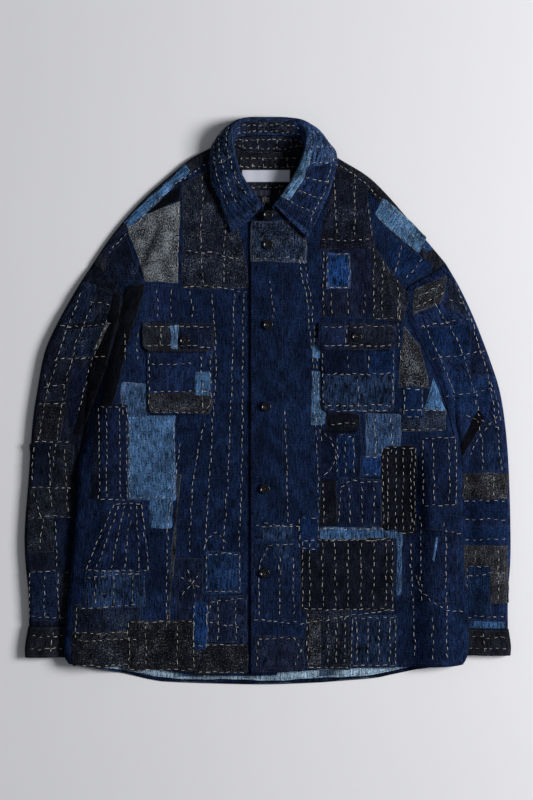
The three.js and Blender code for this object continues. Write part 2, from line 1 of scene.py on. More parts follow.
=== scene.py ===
import math
import bmesh
import bpy
import numpy as np
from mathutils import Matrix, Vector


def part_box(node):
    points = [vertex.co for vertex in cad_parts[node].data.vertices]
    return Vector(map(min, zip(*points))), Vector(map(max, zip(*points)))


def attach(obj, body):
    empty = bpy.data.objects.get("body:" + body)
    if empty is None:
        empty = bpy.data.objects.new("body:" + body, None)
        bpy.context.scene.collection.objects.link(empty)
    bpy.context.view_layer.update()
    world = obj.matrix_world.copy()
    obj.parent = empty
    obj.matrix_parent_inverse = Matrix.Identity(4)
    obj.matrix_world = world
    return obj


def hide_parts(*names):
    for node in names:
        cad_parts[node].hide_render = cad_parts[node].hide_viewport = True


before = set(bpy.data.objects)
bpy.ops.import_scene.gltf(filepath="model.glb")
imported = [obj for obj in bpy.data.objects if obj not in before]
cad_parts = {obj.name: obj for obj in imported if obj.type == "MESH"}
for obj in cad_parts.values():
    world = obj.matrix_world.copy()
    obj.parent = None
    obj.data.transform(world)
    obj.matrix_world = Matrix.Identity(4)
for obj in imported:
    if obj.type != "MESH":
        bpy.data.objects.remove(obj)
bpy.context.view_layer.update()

# ---- the table the jacket lies on, its light and the camera --------------------------------------
# A plain, faintly cool white surface, lit by one large soft window to the right and a weak one
# on the left. The camera looks straight down on the middle of the jacket.
FRAME_TALL = 1.2
CAMERA_HEIGHT = 3.0
CAMERA_AIM = (-0.0015, 0.0022)


def node(tree, kind, inputs=(), links=(), **settings):
    """Adds one shader node, sets its values by socket name and joins its sockets to others."""
    made = tree.nodes.new(kind)
    for key, value in settings.items():
        setattr(made, key, value)
    for name, value in dict(inputs).items():
        made.inputs[name].default_value = value
    for name, source in dict(links).items():
        tree.links.new(source, made.inputs[name])
    return made


def new_material(name):
    """An empty node material with its output, and the shader that feeds it."""
    material = bpy.data.materials.new(name)
    material.use_nodes = True
    tree = material.node_tree
    tree.nodes.clear()
    shader = tree.nodes.new("ShaderNodeBsdfPrincipled")
    output = tree.nodes.new("ShaderNodeOutputMaterial")
    tree.links.new(shader.outputs["BSDF"], output.inputs["Surface"])
    return material, tree, shader


bpy.ops.mesh.primitive_plane_add(size=12, location=(0, 0, -0.0003))
table = bpy.context.object
table.name = "table"
paper, tree, shader = new_material("white_table")
where = node(tree, "ShaderNodeTexCoord")
mottle = node(tree, "ShaderNodeTexNoise", {"Scale": 3.0, "Detail": 3.0},
              {"Vector": where.outputs["Object"]})
shade = node(tree, "ShaderNodeValToRGB", links={"Fac": mottle.outputs["Fac"]})
shade.color_ramp.elements[0].color = (0.74, 0.745, 0.775, 1)
shade.color_ramp.elements[1].color = (0.77, 0.775, 0.80, 1)
tree.links.new(shade.outputs["Color"], shader.inputs["Base Color"])
shader.inputs["Roughness"].default_value = 0.8
shader.inputs["Specular IOR Level"].default_value = 0.2
table.data.materials.append(paper)


def window(name, place, size, watts, color):
    """A square area light turned towards the middle of the jacket."""
    light = bpy.data.lights.new(name, "AREA")
    light.size = size
    light.energy = watts
    light.color = color
    lamp = bpy.data.objects.new(name, light)
    lamp.location = place
    aim = -np.array(place)
    lamp.rotation_euler = (math.pi - math.acos(aim[2] / np.linalg.norm(aim)), 0,
                           math.atan2(aim[1], aim[0]) + math.pi / 2 + math.pi)
    bpy.context.collection.objects.link(lamp)


window("window_right", (3.2, 0.35, 2.3), 1.4, 205, (1.0, 0.99, 0.985))
window("window_left", (-2.0, 0.9, 2.2), 2.0, 1.5, (0.93, 0.96, 1.0))
world = bpy.data.worlds.new("room")
world.use_nodes = True
world.node_tree.nodes["Background"].inputs["Color"].default_value = (0.93, 0.95, 1.0, 1)
world.node_tree.nodes["Background"].inputs["Strength"].default_value = 0.16
bpy.context.scene.world = world

camera = bpy.data.objects.new("camera", bpy.data.cameras.new("camera"))
camera.location = (*CAMERA_AIM, CAMERA_HEIGHT)
camera.data.sensor_width = 36
camera.data.lens = 36 * (CAMERA_HEIGHT - 0.01) / FRAME_TALL
bpy.context.collection.objects.link(camera)
bpy.context.scene.camera = camera
bpy.context.scene.view_settings.view_transform = "Standard"

# ---- the fronts ----------------------------------------------------------------------------------
# Two cotton fronts, the wearer's left one on top at the placket, sewn to the back at the side folds.
# They lie on the back with a soft fold along their outer edges. Sizes from here on are millimetres.
CLOTH = 1.6
REST = CLOTH / 2
LAY = 8.0
ROLL = 9.0
LIFT = 9.8
SEAM = 0.6
PLACKET_EDGE = -26.0
PLACKET_UNDER = 14.0
NECK_FRONT = 269.0
YOKE_STRIP = np.array([4.0, -22.0])
YOKE_END = 0.075
SHOULDER_POINTS = 25
LEFT = {
    "sign": 1, "bulge": 5,
    "shoulder": [(64, 391), (112, 362), (151, 338), (182, 308), (213, 272), (242, 238), (268, 207)],
    "armhole": [(268, 207), (236, 187), (206, 166), (213, 122), (232, 84), (250, 50), (268, -5),
                (284, -46)],
    "side": [(284, -46), (290, -73), (292, -150), (294, -240), (300, -298), (301, -345), (300, -378),
             (292, -394)],
    "hem": [(PLACKET_EDGE, -409), (46, -405), (104, -401), (214, -398), (268, -397), (292, -394)],
    "neck": [(0, 374, 4), (30, 376, 4.5), (52, 382, 6), (66, 374, 9.6), (65, 345, 10), (55, 319, 10.2),
             (41, 299, 10.6), (21, 280, 12.4), (-3, 276, 13.4)],
}
RIGHT = {
    "sign": -1, "bulge": 9,
    "shoulder": [(64, 391), (112, 367), (148, 338), (182, 308), (213, 275), (240, 241), (263, 206)],
    "armhole": [(263, 206), (240, 188), (217, 167), (221, 115), (230, 85), (240, 52), (258, -5),
                (275, -50)],
    "side": [(275, -50), (281, -78), (284, -120), (287, -166), (293, -240), (299, -298), (304, -355),
             (304, -380), (297, -393)],
    "hem": [(-PLACKET_UNDER, -411), (34, -412), (92, -411), (131, -407), (190, -399), (253, -395),
            (297, -393)],
    "neck": [(0, 374, 4), (30, 376, 4.5), (52, 382, 6), (66, 374, 9.4), (65, 345, 9.6), (55, 319, 9.8),
             (41, 299, 9.8), (21, 280, 9.9), (-3, 276, 10)],
}
# Soft ridges and troughs, as two ends, half width and height, then the sharper creases.
CREASES = [
    (-150, 272, -192, 168, 20, 5), (-198, 120, -252, -70, 24, 8), (184, -88, 259, -283, 20, -2.6),
    (-150, -120, -200, -330, 24, 2.2), (60, -210, 120, -390, 26, 1.8), (196, 150, 205, -20, 24, 2.4),
    (120, 300, 190, 150, 24, 2.2), (-166, 262, -197, 190, 6, -3.6), (-186, 170, -226, 60, 7, -1.6),
    (236, -120, 262, -330, 8, 1.2), (-236, -170, -262, -340, 9, 1.3), (-74, -180, -96, -400, 10, 0.9),
    (150, -40, 172, -200, 9, -0.9), (96, 210, 150, 120, 10, -0.9), (-60, 140, -76, -60, 12, 0.8),
    (208, 116, 232, 20, 8, -1.4), (-110, 250, -150, 200, 9, 0.9),
]


def smooth(low, high, x):
    """0 below low and 1 above high, rising between them as 3t^2 - 2t^3."""
    t = np.clip((x - low) / (high - low), 0, 1)
    return t * t * (3 - 2 * t)


def spaced(line, shares):
    """The points at the given shares of a line's length, straight between its own points."""
    length = np.concatenate([[0], np.cumsum(np.linalg.norm(np.diff(line, axis=0), axis=1))])
    wanted = np.asarray(shares, float) * length[-1]
    return np.stack([np.interp(wanted, length, column) for column in line.T], axis=-1)


def through(points, count=120, even=True):
    """A smooth curve through points: on each span a cubic whose slope at a point is half the step
    between its two neighbours. Evenly spaced by length, or by span for a curve that pairs with others."""
    p = np.array(points, float)
    p = np.vstack([2 * p[0] - p[1], p, 2 * p[-1] - p[-2]])
    a, b, c, d = p[:-3], p[1:-2], p[2:-1], p[3:]
    steps = 16 if even else (count - 1) // len(a)
    t = np.linspace(0, 1, steps, endpoint=False)[:, None, None]
    spans = b + t / 2 * (c - a + t * (2 * a - 5 * b + 4 * c - d + t * (3 * (b - c) + d - a)))
    line = np.vstack([spans.swapaxes(0, 1).reshape(-1, p.shape[1]), p[-2:-1]])
    return spaced(line, np.linspace(0, 1, count)) if even else line


def distance(x, y, line):
    """Distance in plan from each point to the nearest stretch of a line."""
    p = np.stack([x, y], -1)[..., None, :]
    a, b = np.asarray(line, float)[:-1, :2], np.asarray(line, float)[1:, :2]
    share = np.clip(((p - a) * (b - a)).sum(-1) / ((b - a) ** 2).sum(-1), 0, 1)
    return np.linalg.norm(p - a - share[..., None] * (b - a), axis=-1).min(-1)


def quarter(t):
    """A quarter ellipse: 0 at a fold, 1 where the cloth runs flat again."""
    return np.sqrt(np.maximum(0, 1 - (1 - np.minimum(1, t)) ** 2))


for half in (LEFT, RIGHT):
    half["side_line"] = through(half["side"], 40)
    half["fold_line"] = np.vstack([through(half["shoulder"], SHOULDER_POINTS), half["side_line"]])
    half["armhole_line"] = through(half["armhole"], 60)


def lift_at(x, y):
    """How far the sleeve under the body's side raises it: a step up across the sleeve's inner edge."""
    return LIFT * smooth(216, 246, x) * smooth(-60, -98, y)


def lay_height(half, x, y):
    """Upper layer of the body, x outwards: a flat lay, plus the lift, a soft swell along the side and
    at the neck, bell-shaped ridges and troughs along the creases, a valley on the armhole seam and
    slow ripples that run down the body."""
    side = np.interp(-y, -half["side_line"][:, 1], half["side_line"][:, 0])
    z = LAY + lift_at(x, y) + 2.6 * np.exp(-(np.hypot(x, y - 330) / 110) ** 2)
    z = z + half["bulge"] * np.exp(-((x - side + 46) / 38) ** 2) * smooth(240, 120, y)
    signed = x * half["sign"]
    for ax, ay, bx, by, width, height in CREASES:
        z = z + height * np.exp(-(distance(signed, y, [(ax, ay), (bx, by)]) / width) ** 2)
    z = z - 2.6 * np.exp(-(distance(x, y, half["armhole_line"]) / 6) ** 2) * smooth(225, 160, y)
    ripple = np.sin(signed / 17 + 1.4 * np.sin(y / 83)) + 0.7 * np.sin(signed / 9.5 - y / 61 + 2)
    return z + 0.22 * ripple * smooth(330, 230, y)


def top_height(half, x, y, over=True):
    """The upper layer, or the lower one, brought together at the folds along a quarter ellipse."""
    lay, rest = lay_height(half, x, y), REST + lift_at(x, y)
    middle = (lay + rest) / 2
    rounding = quarter(distance(x, y, half["fold_line"]) / ROLL)
    return middle + ((lay if over else rest) - middle) * rounding


def on_front(half):
    """Places chart points (x with its sign, y) on a front; the upper one steps over the lower."""
    def place(x, y):
        out = x * half["sign"]
        step = 2.4 * smooth(52, 18, out) if half["sign"] > 0 else 0
        return np.stack([x, y, top_height(half, out, y) + step], -1)
    return place


def ruled(bottom, top, near, far, u, v):
    """A panel between four edges: straight from bottom to top at share u, moved so that its ends lie
    on the near and far edges, each shift fading with the cube of the distance from its edge."""
    p = spaced(bottom, u) + (spaced(top, u) - spaced(bottom, u)) * v[:, None, None]
    near_shift = near - bottom[0] - (top[0] - bottom[0]) * v[:, None]
    far_shift = far - bottom[-1] - (top[-1] - bottom[-1]) * v[:, None]
    return p + near_shift[:, None] * ((1 - u) ** 3)[..., None] + far_shift[:, None] * (u ** 3)[..., None]


def rolled_shares(lengths, columns, both=False):
    """Shares across a panel, even in the middle and close together where it rolls over its fold."""
    roll = ROLL * (1 - np.linspace(0, 1, 9)) ** 2 / lengths[:, None]
    inner = np.linspace(0, 1, columns)[None] * (1 - (2 if both else 1) * ROLL / lengths)[:, None]
    if both:
        return np.hstack([roll[:, ::-1][:, :-1], inner + (ROLL / lengths)[:, None], 1 - roll[:, 1:]])
    return np.hstack([inner, 1 - roll[:, 1:]])


def yoke_seam(half):
    """The seam between front and yoke: the shoulder fold moved to the front by the strip's width, and
    at its outer end onto the armhole."""
    shoulder = through(half["shoulder"], SHOULDER_POINTS)
    share = np.linspace(0, 1, SHOULDER_POINTS)[:, None]
    strip = YOKE_STRIP + (spaced(half["armhole_line"], YOKE_END) - shoulder[-1] - YOKE_STRIP) * share
    return shoulder + strip


def front_grid(half, free_edge, rows=230, columns=96):
    """The chart of a front: its free edge, hem, side fold with armhole, and neck with yoke seam."""
    neck = through([p[:2] for p in half["neck"][3:8]], 24)[::-1]
    neck = neck + (neck - (0, 330)) / np.linalg.norm(neck - (0, 330), axis=1)[:, None] * SEAM
    top = np.vstack([[(free_edge, NECK_FRONT)], neck, yoke_seam(half)[1:] - (0, SEAM)])
    bottom = through(half["hem"], 60)
    bottom[0, 0] = free_edge
    armhole = spaced(half["armhole_line"], np.linspace(1, YOKE_END, 50))
    far = np.vstack([half["side_line"][::-1], armhole])
    far[-1] = top[-1]
    far[0] = bottom[-1]
    v = np.linspace(0, 1, rows)
    near = bottom[0] + (top[0] - bottom[0]) * v[:, None]
    far = spaced(far, v)
    u = rolled_shares(np.linalg.norm(far - near, axis=1), columns)
    return ruled(bottom, top, near, far, u, v)


def dye(red, green, blue):
    """A cloth colour as the eye sees it, 0 to 255, turned into the linear values that shaders take."""
    return tuple(((c / 255 + 0.055) / 1.055) ** 2.4 for c in (red, green, blue))


NAVY = dye(12, 24, 48)
DEEP = dye(9, 18, 39)
BLUE = dye(12, 28, 57)
LIGHT = dye(50, 80, 114)
CHARCOAL = dye(23, 25, 32)
BLACK = dye(11, 13, 22)


def weave_group():
    """Yarn-dyed cotton: warp streaks along V, a fine two-way weave, flecks of bare thread where noise
    is over a limit, and slow fading. Puts out the colour, roughness and height."""
    group = bpy.data.node_groups.new("worn_indigo_weave", "ShaderNodeTree")
    for name, kind, value in [("Vector", "NodeSocketVector", None), ("Tone", "NodeSocketColor", None),
                              ("Streak", "NodeSocketFloat", 0.5), ("Fleck", "NodeSocketFloat", 0.3),
                              ("Edge", "NodeSocketFloat", 1.0),
                              ("Thread", "NodeSocketColor", (0.14, 0.155, 0.17, 1))]:
        socket = group.interface.new_socket(name=name, in_out="INPUT", socket_type=kind)
        if value is not None:
            socket.default_value = value
    for name, kind in [("Color", "NodeSocketColor"), ("Roughness", "NodeSocketFloat"),
                       ("Height", "NodeSocketFloat")]:
        group.interface.new_socket(name=name, in_out="OUTPUT", socket_type=kind)
    source = group.nodes.new("NodeGroupInput")
    sink = group.nodes.new("NodeGroupOutput")

    def noise(stretch, detail, rough=0.6):
        spread = node(group, "ShaderNodeVectorMath", {1: stretch}, {0: source.outputs["Vector"]},
                      operation="MULTIPLY")
        return node(group, "ShaderNodeTexNoise", {"Scale": 1.0, "Detail": detail, "Roughness": rough},
                    {"Vector": spread.outputs["Vector"]}).outputs["Fac"]

    def math_node(operation, first, second, clamp=False):
        made = node(group, "ShaderNodeMath", operation=operation, use_clamp=clamp)
        for i, value in enumerate((first, second)):
            if isinstance(value, (int, float)):
                made.inputs[i].default_value = value
            else:
                group.links.new(value, made.inputs[i])
        return made.outputs["Value"]

    def ramp(value, low, high, to_low, to_high):
        made = node(group, "ShaderNodeMapRange", {"From Min": low, "From Max": high, "To Min": to_low,
                                                  "To Max": to_high}, {"Value": value})
        return made.outputs["Result"]

    warp = ramp(noise((520, 62, 1), 4, 0.7), 0.32, 0.68, 0, 1)
    cross = ramp(noise((240, 620, 1), 3), 0.35, 0.65, 0, 1)
    fade = ramp(noise((27, 21, 1), 5, 0.65), 0.3, 0.7, 0, 1)
    grit = noise((640, 420, 1), 3, 0.75)
    bare = noise((46, 38, 1), 5, 0.7)
    streak = math_node("MULTIPLY", math_node("SUBTRACT", warp, 0.45), source.outputs["Streak"])
    light = math_node("ADD", math_node("ADD", 1.0, math_node("MULTIPLY", streak, 3.8)),
                      math_node("MULTIPLY", math_node("SUBTRACT", cross, 0.5), 0.9))
    light = math_node("ADD", light, math_node("MULTIPLY", math_node("SUBTRACT", grit, 0.5), 5.6))
    light = math_node("MULTIPLY", math_node("MAXIMUM", light, 0.08), ramp(fade, 0, 1, 0.5, 1.5))
    light = math_node("MULTIPLY", light, ramp(bare, 0.35, 0.65, 0.6, 1.4))
    toned = node(group, "ShaderNodeVectorMath", links={0: source.outputs["Tone"], "Scale": light},
                 operation="SCALE").outputs["Vector"]
    limit = math_node("SUBTRACT", 0.70, math_node("MULTIPLY", source.outputs["Fleck"], 0.09))
    limit = math_node("SUBTRACT", limit, ramp(bare, 0.45, 0.72, -0.03, 0.09))
    flecks = math_node("MULTIPLY", math_node("SUBTRACT", grit, limit), 12.0, True)
    loose = math_node("SUBTRACT", ramp(warp, 0, 1, 0.2, 1.1), source.outputs["Edge"])
    frayed = math_node("MULTIPLY", loose, 0.22, True)
    worn = math_node("MAXIMUM", math_node("MULTIPLY", flecks, 0.7), frayed)
    bright = math_node("ADD", 0.5, math_node("MULTIPLY", source.outputs["Fleck"], 0.62))
    thread = node(group, "ShaderNodeVectorMath", links={0: source.outputs["Thread"], "Scale": bright},
                  operation="SCALE").outputs["Vector"]
    mixed = node(group, "ShaderNodeMixRGB", links={"Fac": worn, "Color1": toned, "Color2": thread})
    group.links.new(mixed.outputs["Color"], sink.inputs["Color"])
    group.links.new(ramp(worn, 0, 1, 0.93, 0.8), sink.inputs["Roughness"])
    height = math_node("ADD", math_node("MULTIPLY", warp, 0.6), math_node("MULTIPLY", cross, 0.4))
    group.links.new(math_node("ADD", height, math_node("MULTIPLY", fade, 0.8)), sink.inputs["Height"])
    return group


WEAVE = weave_group()


def cloth_material(name, thread=(0.14, 0.155, 0.17, 1)):
    """Cotton that takes its dye, streaks, flecks and raw edges from the piece's own attributes."""
    material, tree, shader = new_material(name)
    cover = node(tree, "ShaderNodeUVMap", uv_map="cloth")
    weave = node(tree, "ShaderNodeGroup", node_tree=WEAVE)
    weave.inputs["Thread"].default_value = thread
    tree.links.new(cover.outputs["UV"], weave.inputs["Vector"])
    for attribute, socket, output in [("tone", "Tone", "Color"), ("streak", "Streak", "Fac"),
                                      ("fleck", "Fleck", "Fac"), ("edge", "Edge", "Fac")]:
        reader = node(tree, "ShaderNodeAttribute", attribute_name=attribute)
        tree.links.new(reader.outputs[output], weave.inputs[socket])
    bump = node(tree, "ShaderNodeBump", {"Strength": 0.8, "Distance": 0.0009},
                {"Height": weave.outputs["Height"]})
    tree.links.new(weave.outputs["Color"], shader.inputs["Base Color"])
    tree.links.new(weave.outputs["Roughness"], shader.inputs["Roughness"])
    tree.links.new(bump.outputs["Normal"], shader.inputs["Normal"])
    shader.inputs["Specular IOR Level"].default_value = 0.05
    return material


boro_cloth = cloth_material("boro_cloth")


def build(name, points, quads, uv, facts, material):
    """Puts one piece's points in millimetres, quads, a UV for each quad corner and point attributes
    into a mesh that rides on the jacket."""
    mesh = bpy.data.meshes.new(name)
    mesh.from_pydata((points.reshape(-1, 3) * 0.001).tolist(), [], quads.tolist())
    mesh.polygons.foreach_set("use_smooth", np.ones(len(quads), bool))
    layer = mesh.uv_layers.new(name="cloth")
    layer.data.foreach_set("uv", (uv.reshape(-1, 2) * 0.001).astype(np.float32).ravel())
    count = points.size // 3
    for key, values in facts.items():
        kind = "FLOAT_COLOR" if key == "tone" else "FLOAT"
        made = mesh.attributes.new(key, kind, "POINT")
        if key == "tone":
            opaque = np.hstack([np.broadcast_to(values, (count, 3)), np.ones((count, 1))])
            made.data.foreach_set("color", opaque.astype(np.float32).ravel())
        else:
            made.data.foreach_set("value", np.broadcast_to(values, count).astype(np.float32).ravel())
    mesh.materials.append(material)
    piece = bpy.data.objects.new(name, mesh)
    bpy.context.collection.objects.link(piece)
    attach(piece, "root")
    return piece


def grid_quads(rows, columns, closed=False, flip=False, keep=None):
    """The quads of a grid of points row by row, and for each corner its row and column."""
    i, j = np.meshgrid(np.arange(rows - 1), np.arange(columns - (0 if closed else 1)), indexing="ij")
    if keep is not None:
        i, j = i[keep], j[keep]
    i, j = i.ravel(), j.ravel()
    corners = [(i, j), (i, j + 1), (i + 1, j + 1), (i + 1, j)]
    if flip:
        corners = corners[::-1]
    row = np.stack([c[0] for c in corners], -1)
    column = np.stack([c[1] for c in corners], -1)
    return row * columns + column % columns, row, column


def panel(name, points, tone, streak, fleck, closed=False, flip=False, keep=None, thick=1.2, offset=-1.0,
          material=None, uv=None, inside=None):
    """One cut piece of cloth: a grid of points given a wall, all under it, or half on each side where
    offset is 0. Its weave runs with the plan unless another chart is given."""
    rows, columns = points.shape[:2]
    quads, row, column = grid_quads(rows, columns, closed, flip, keep)
    chart = points[..., :2] if uv is None else uv
    cover = chart[row, column % columns] if uv is None else chart[row, column]
    facts = {"tone": tone, "streak": streak, "fleck": fleck, "edge": 20.0}
    piece = build(name, points, quads, cover, facts, material or boro_cloth)
    if inside is not None:
        piece.data.materials.append(inside)
    wall = piece.modifiers.new("wall", "SOLIDIFY")
    wall.thickness = thick * 0.001
    wall.offset = offset
    wall.material_offset = 1 if inside is not None else 0
    return piece


def outward(place, a, b):
    """The point of a surface at chart (a, b) and its upward normal, from steps each way on the chart."""
    e = 1e-3
    p = place(a, b)
    n = np.cross(place(a + e, b) - place(a - e, b), place(a, b + e) - place(a, b - e))
    n = n / np.maximum(np.linalg.norm(n, axis=-1, keepdims=True), 1e-12)
    return p, n * np.where(n[..., 2:] < 0, -1, 1)


rng = np.random.default_rng(11)
WAVER = 1.1


def patch_shares(count):
    """Even shares across a patch, with one more close to each edge, where it turns down."""
    inner = np.linspace(1 / count, 1 - 1 / count, count - 1)
    return np.concatenate([[0, 0.25 / count], inner, [1 - 0.25 / count, 1]])


def patch_grid(place, corners, lift, rounding, cell=3.0):
    """One patch: bilinear between four chart corners from its lower left, its own corners rounded as a
    quarter circle, its outline wavering a little, raised by lift and turned down at its edge."""
    chart = np.array(corners, float)
    ends = place(chart[:, 0], chart[:, 1])
    width = (np.linalg.norm(ends[1] - ends[0]) + np.linalg.norm(ends[2] - ends[3])) / 2
    height = (np.linalg.norm(ends[3] - ends[0]) + np.linalg.norm(ends[2] - ends[1])) / 2
    columns, rows = max(4, int(width / cell)), max(4, int(height / cell))
    s, t = np.meshgrid(patch_shares(columns), patch_shares(rows))
    r = min(0.6 * rounding, width / 2.2, height / 2.2)
    inward = np.maximum(0, r - np.minimum(s, 1 - s) * width)
    cut = (r - np.sqrt(np.maximum(0, r * r - inward ** 2))) / height
    level = cut + t * (1 - 2 * cut)
    phase = rng.uniform(0, 6.3, 4)
    sway = np.sin(t * height / 21 + phase[0]) + 0.4 * np.sin(t * height / 5 + phase[1])
    across = s + (WAVER / width) * (2 * s - 1) * sway
    sway = np.sin(s * width / 19 + phase[2]) + 0.4 * np.sin(s * width / 6 + phase[3])
    level = level + (WAVER / height) * (2 * t - 1) * sway
    a, b, c, d = chart
    where = (a * ((1 - across) * (1 - level))[..., None] + b * (across * (1 - level))[..., None]
             + c * (across * level)[..., None] + d * ((1 - across) * level)[..., None])
    edge = np.minimum(np.minimum(s, 1 - s) * width, np.minimum(t, 1 - t) * height)
    p, n = outward(place, where[..., 0], where[..., 1])
    points = p + n * (0.1 + lift * smooth(0, 1.1, edge))[..., None]
    turn = rng.uniform(-0.06, 0.06)
    shift = rng.uniform(0, 900, 2)
    uv = np.stack([s * width + t * height * turn, t * height - s * width * turn], -1) + shift
    return points, uv, edge


def sew_patches(name, place, patches_and_shade, wall=0.0):
    """Joins all the patches of one panel into one mesh. A patch is its corners, dye, streak, fleck,
    wear of its raw edge, corner rounding and order in the stack. They lie wall above the place given,
    which is the middle of a doubled panel and the top of a single one."""
    parts = {"points": [], "quads": [], "uv": [], "tone": [], "streak": [], "fleck": [], "edge": []}
    first = 0
    for corners, tone, streak, fleck, wear, rounding, order in patches_and_shade:
        points, uv, edge = patch_grid(place, corners, wall + 0.25 + 0.2 * order, rounding)
        rows, columns = points.shape[:2]
        normal = np.cross(points[1, 1] - points[1, 2], points[1, 1] - points[2, 1])
        quads, row, column = grid_quads(rows, columns, flip=normal[2] < 0)
        count = rows * columns
        parts["points"].append(points.reshape(-1, 3))
        parts["quads"].append(quads + first)
        parts["uv"].append(uv[row, column].reshape(-1, 2))
        parts["tone"].append(np.broadcast_to(tone, (count, 3)))
        parts["streak"].append(np.full(count, streak))
        parts["fleck"].append(np.full(count, fleck))
        parts["edge"].append(edge.ravel() / max(wear, 0.05))
        first += count
    joined = {key: np.concatenate(value) for key, value in parts.items()}
    facts = {key: joined[key] for key in ("tone", "streak", "fleck", "edge")}
    return build(name, joined["points"], joined["quads"], joined["uv"], facts, boro_cloth)


def thread_material():
    """Soft unbleached cotton thread, twisted, greyed a little from one stitch to the next."""
    material, tree, shader = new_material("sewing_thread")
    where = node(tree, "ShaderNodeUVMap", uv_map="cloth")
    twist = node(tree, "ShaderNodeTexWave", {"Scale": 900.0, "Distortion": 1.0},
                 {"Vector": where.outputs["UV"]}, bands_direction="DIAGONAL")
    tone = node(tree, "ShaderNodeAttribute", attribute_name="tone")
    dirty = node(tree, "ShaderNodeMixRGB", {"Fac": 0.35}, {"Color1": tone.outputs["Color"],
                                                          "Color2": twist.outputs["Color"]},
                 blend_type="MULTIPLY")
    bump = node(tree, "ShaderNodeBump", {"Strength": 0.5, "Distance": 0.0003},
                {"Height": twist.outputs["Fac"]})
    tree.links.new(dirty.outputs["Color"], shader.inputs["Base Color"])
    tree.links.new(bump.outputs["Normal"], shader.inputs["Normal"])
    shader.inputs["Roughness"].default_value = 0.75
    return material


sewing_thread = thread_material()
CREAM = dye(212, 209, 200)
DARK_THREAD = dye(44, 60, 92)
SMALL_STITCH = {"dash": 5.0, "gap": 3.2, "width": 0.8}


def run_stitches(name, rows, dash=6.2, gap=3.6, width=0.78, tone=CREAM, lift=0.65, wander=0.75):
    """Running stitches: each is a short thread, a six-sided tube thin at both ends, laid along its row
    and sunk into the cloth where it goes through. A row is the surface it lies on, two or more chart
    points and how far a cloth or patch under it raises it."""
    along = np.array([-0.5, -0.4, 0, 0.4, 0.5])
    thick = np.array([0.25, 0.8, 1, 0.8, 0.25])
    rise = np.array([-0.5, 0.1, 0.25, 0.1, -0.5])
    angle = np.arange(6) * math.pi / 3
    ring, side = np.meshgrid(np.arange(4), np.arange(6), indexing="ij")
    body = np.stack([ring * 6 + side, ring * 6 + (side + 1) % 6, ring * 6 + 6 + (side + 1) % 6,
                     ring * 6 + 6 + side], -1).reshape(-1, 4)
    quads = np.vstack([body, [[3, 2, 1, 0], [5, 4, 3, 0], [24, 25, 26, 27], [24, 27, 28, 29]]])[:, ::-1]
    each = len(along) * len(angle)
    all_points, all_tones = [], []
    for place, chart, raise_by in rows:
        p, n = outward(place, *spaced(np.array(chart, float), np.linspace(0, 1, 80)).T)
        length = np.concatenate([[0], np.cumsum(np.linalg.norm(np.diff(p, axis=0), axis=1))])
        count = int(length[-1] / (dash + gap))
        if count < 1:
            continue
        middle = (np.arange(count) + 0.5) * length[-1] / count + rng.normal(0, 0.5, count)
        size = dash * rng.uniform(0.62, 1.2, count)
        at = middle[:, None] + size[:, None] * along
        look = lambda v: np.stack([np.interp(at, length, v[:, k]) for k in range(3)], -1)
        centre, up = look(p), look(n)
        line = centre[:, -1:] - centre[:, :1]
        line = line / np.linalg.norm(line, axis=-1, keepdims=True)
        across = np.cross(line, up)
        skew = rng.normal(0, wander, (count, 1, 1))
        skew = skew + rng.normal(0, 0.5 * wander, (count, 1, 1)) * along[:, None] * 2
        centre = centre + across * skew + up * (lift + raise_by + rise[:, None] * width * 0.5)
        radius = 0.5 * width * thick[:, None, None] * rng.uniform(0.85, 1.15, (count, 1, 1, 1))
        tube = centre[:, :, None] + radius * (np.cos(angle)[:, None] * across[:, :, None]
                                              + 0.7 * np.sin(angle)[:, None] * up[:, :, None])
        all_points.append(tube.reshape(count, each, 3))
        all_tones.append(np.repeat(rng.uniform(0.3, 1.0, count), each))
    points = np.concatenate(all_points)
    count = len(points)
    faces = (quads[None] + each * np.arange(count)[:, None, None]).reshape(-1, 4)
    uv = points.reshape(-1, 3)[faces][..., :2]
    shade = np.concatenate(all_tones)[:, None] * np.array(tone)
    return build(name, points, faces, uv, {"tone": shade}, sewing_thread)


def topstitch(name, rows, lift=0.5):
    """Dark seam stitching: short, close, thin and straight."""
    return run_stitches(name, rows, 2.6, 1.4, 0.55, DARK_THREAD, lift, 0.1)


def on(place, rows):
    """Lays rows, each its chart points and how far it is raised, on one surface."""
    return [(place, chart, raise_by) for chart, raise_by in rows]


def field(corners, count, raise_by):
    """Upright rows spread over a patch, between its left side and its right one."""
    a, b, c, d = np.array(corners, float)
    shares = (np.arange(count) + 0.5) / count
    return [([a + (b - a) * s, d + (c - d) * s], raise_by) for s in shares]


def box(x0, x1, y0, y1):
    """The four corners of an upright patch, from its lower left."""
    return [(x0, y0), (x1, y0), (x1, y1), (x0, y1)]


def outline(corners, raise_by, sides="brtl", inset=2.5):
    """Rows just inside the chosen sides of a patch: bottom, right, top and left."""
    a = np.array(corners, float)
    middle = a.mean(0)
    inner = a + (middle - a) * inset / np.maximum(np.linalg.norm(middle - a, axis=1)[:, None], 1e-6) * 1.4
    ends = {"b": (0, 1), "r": (1, 2), "t": (2, 3), "l": (3, 0)}
    return [([inner[ends[side][0]], inner[ends[side][1]]], raise_by) for side in sides]


front_left_place = on_front(LEFT)
front_right_place = on_front(RIGHT)


def placed_grid(half, place, grid):
    """Puts a chart grid, x outwards, onto its surface with x signed."""
    return place(grid[..., 0] * half["sign"], grid[..., 1])


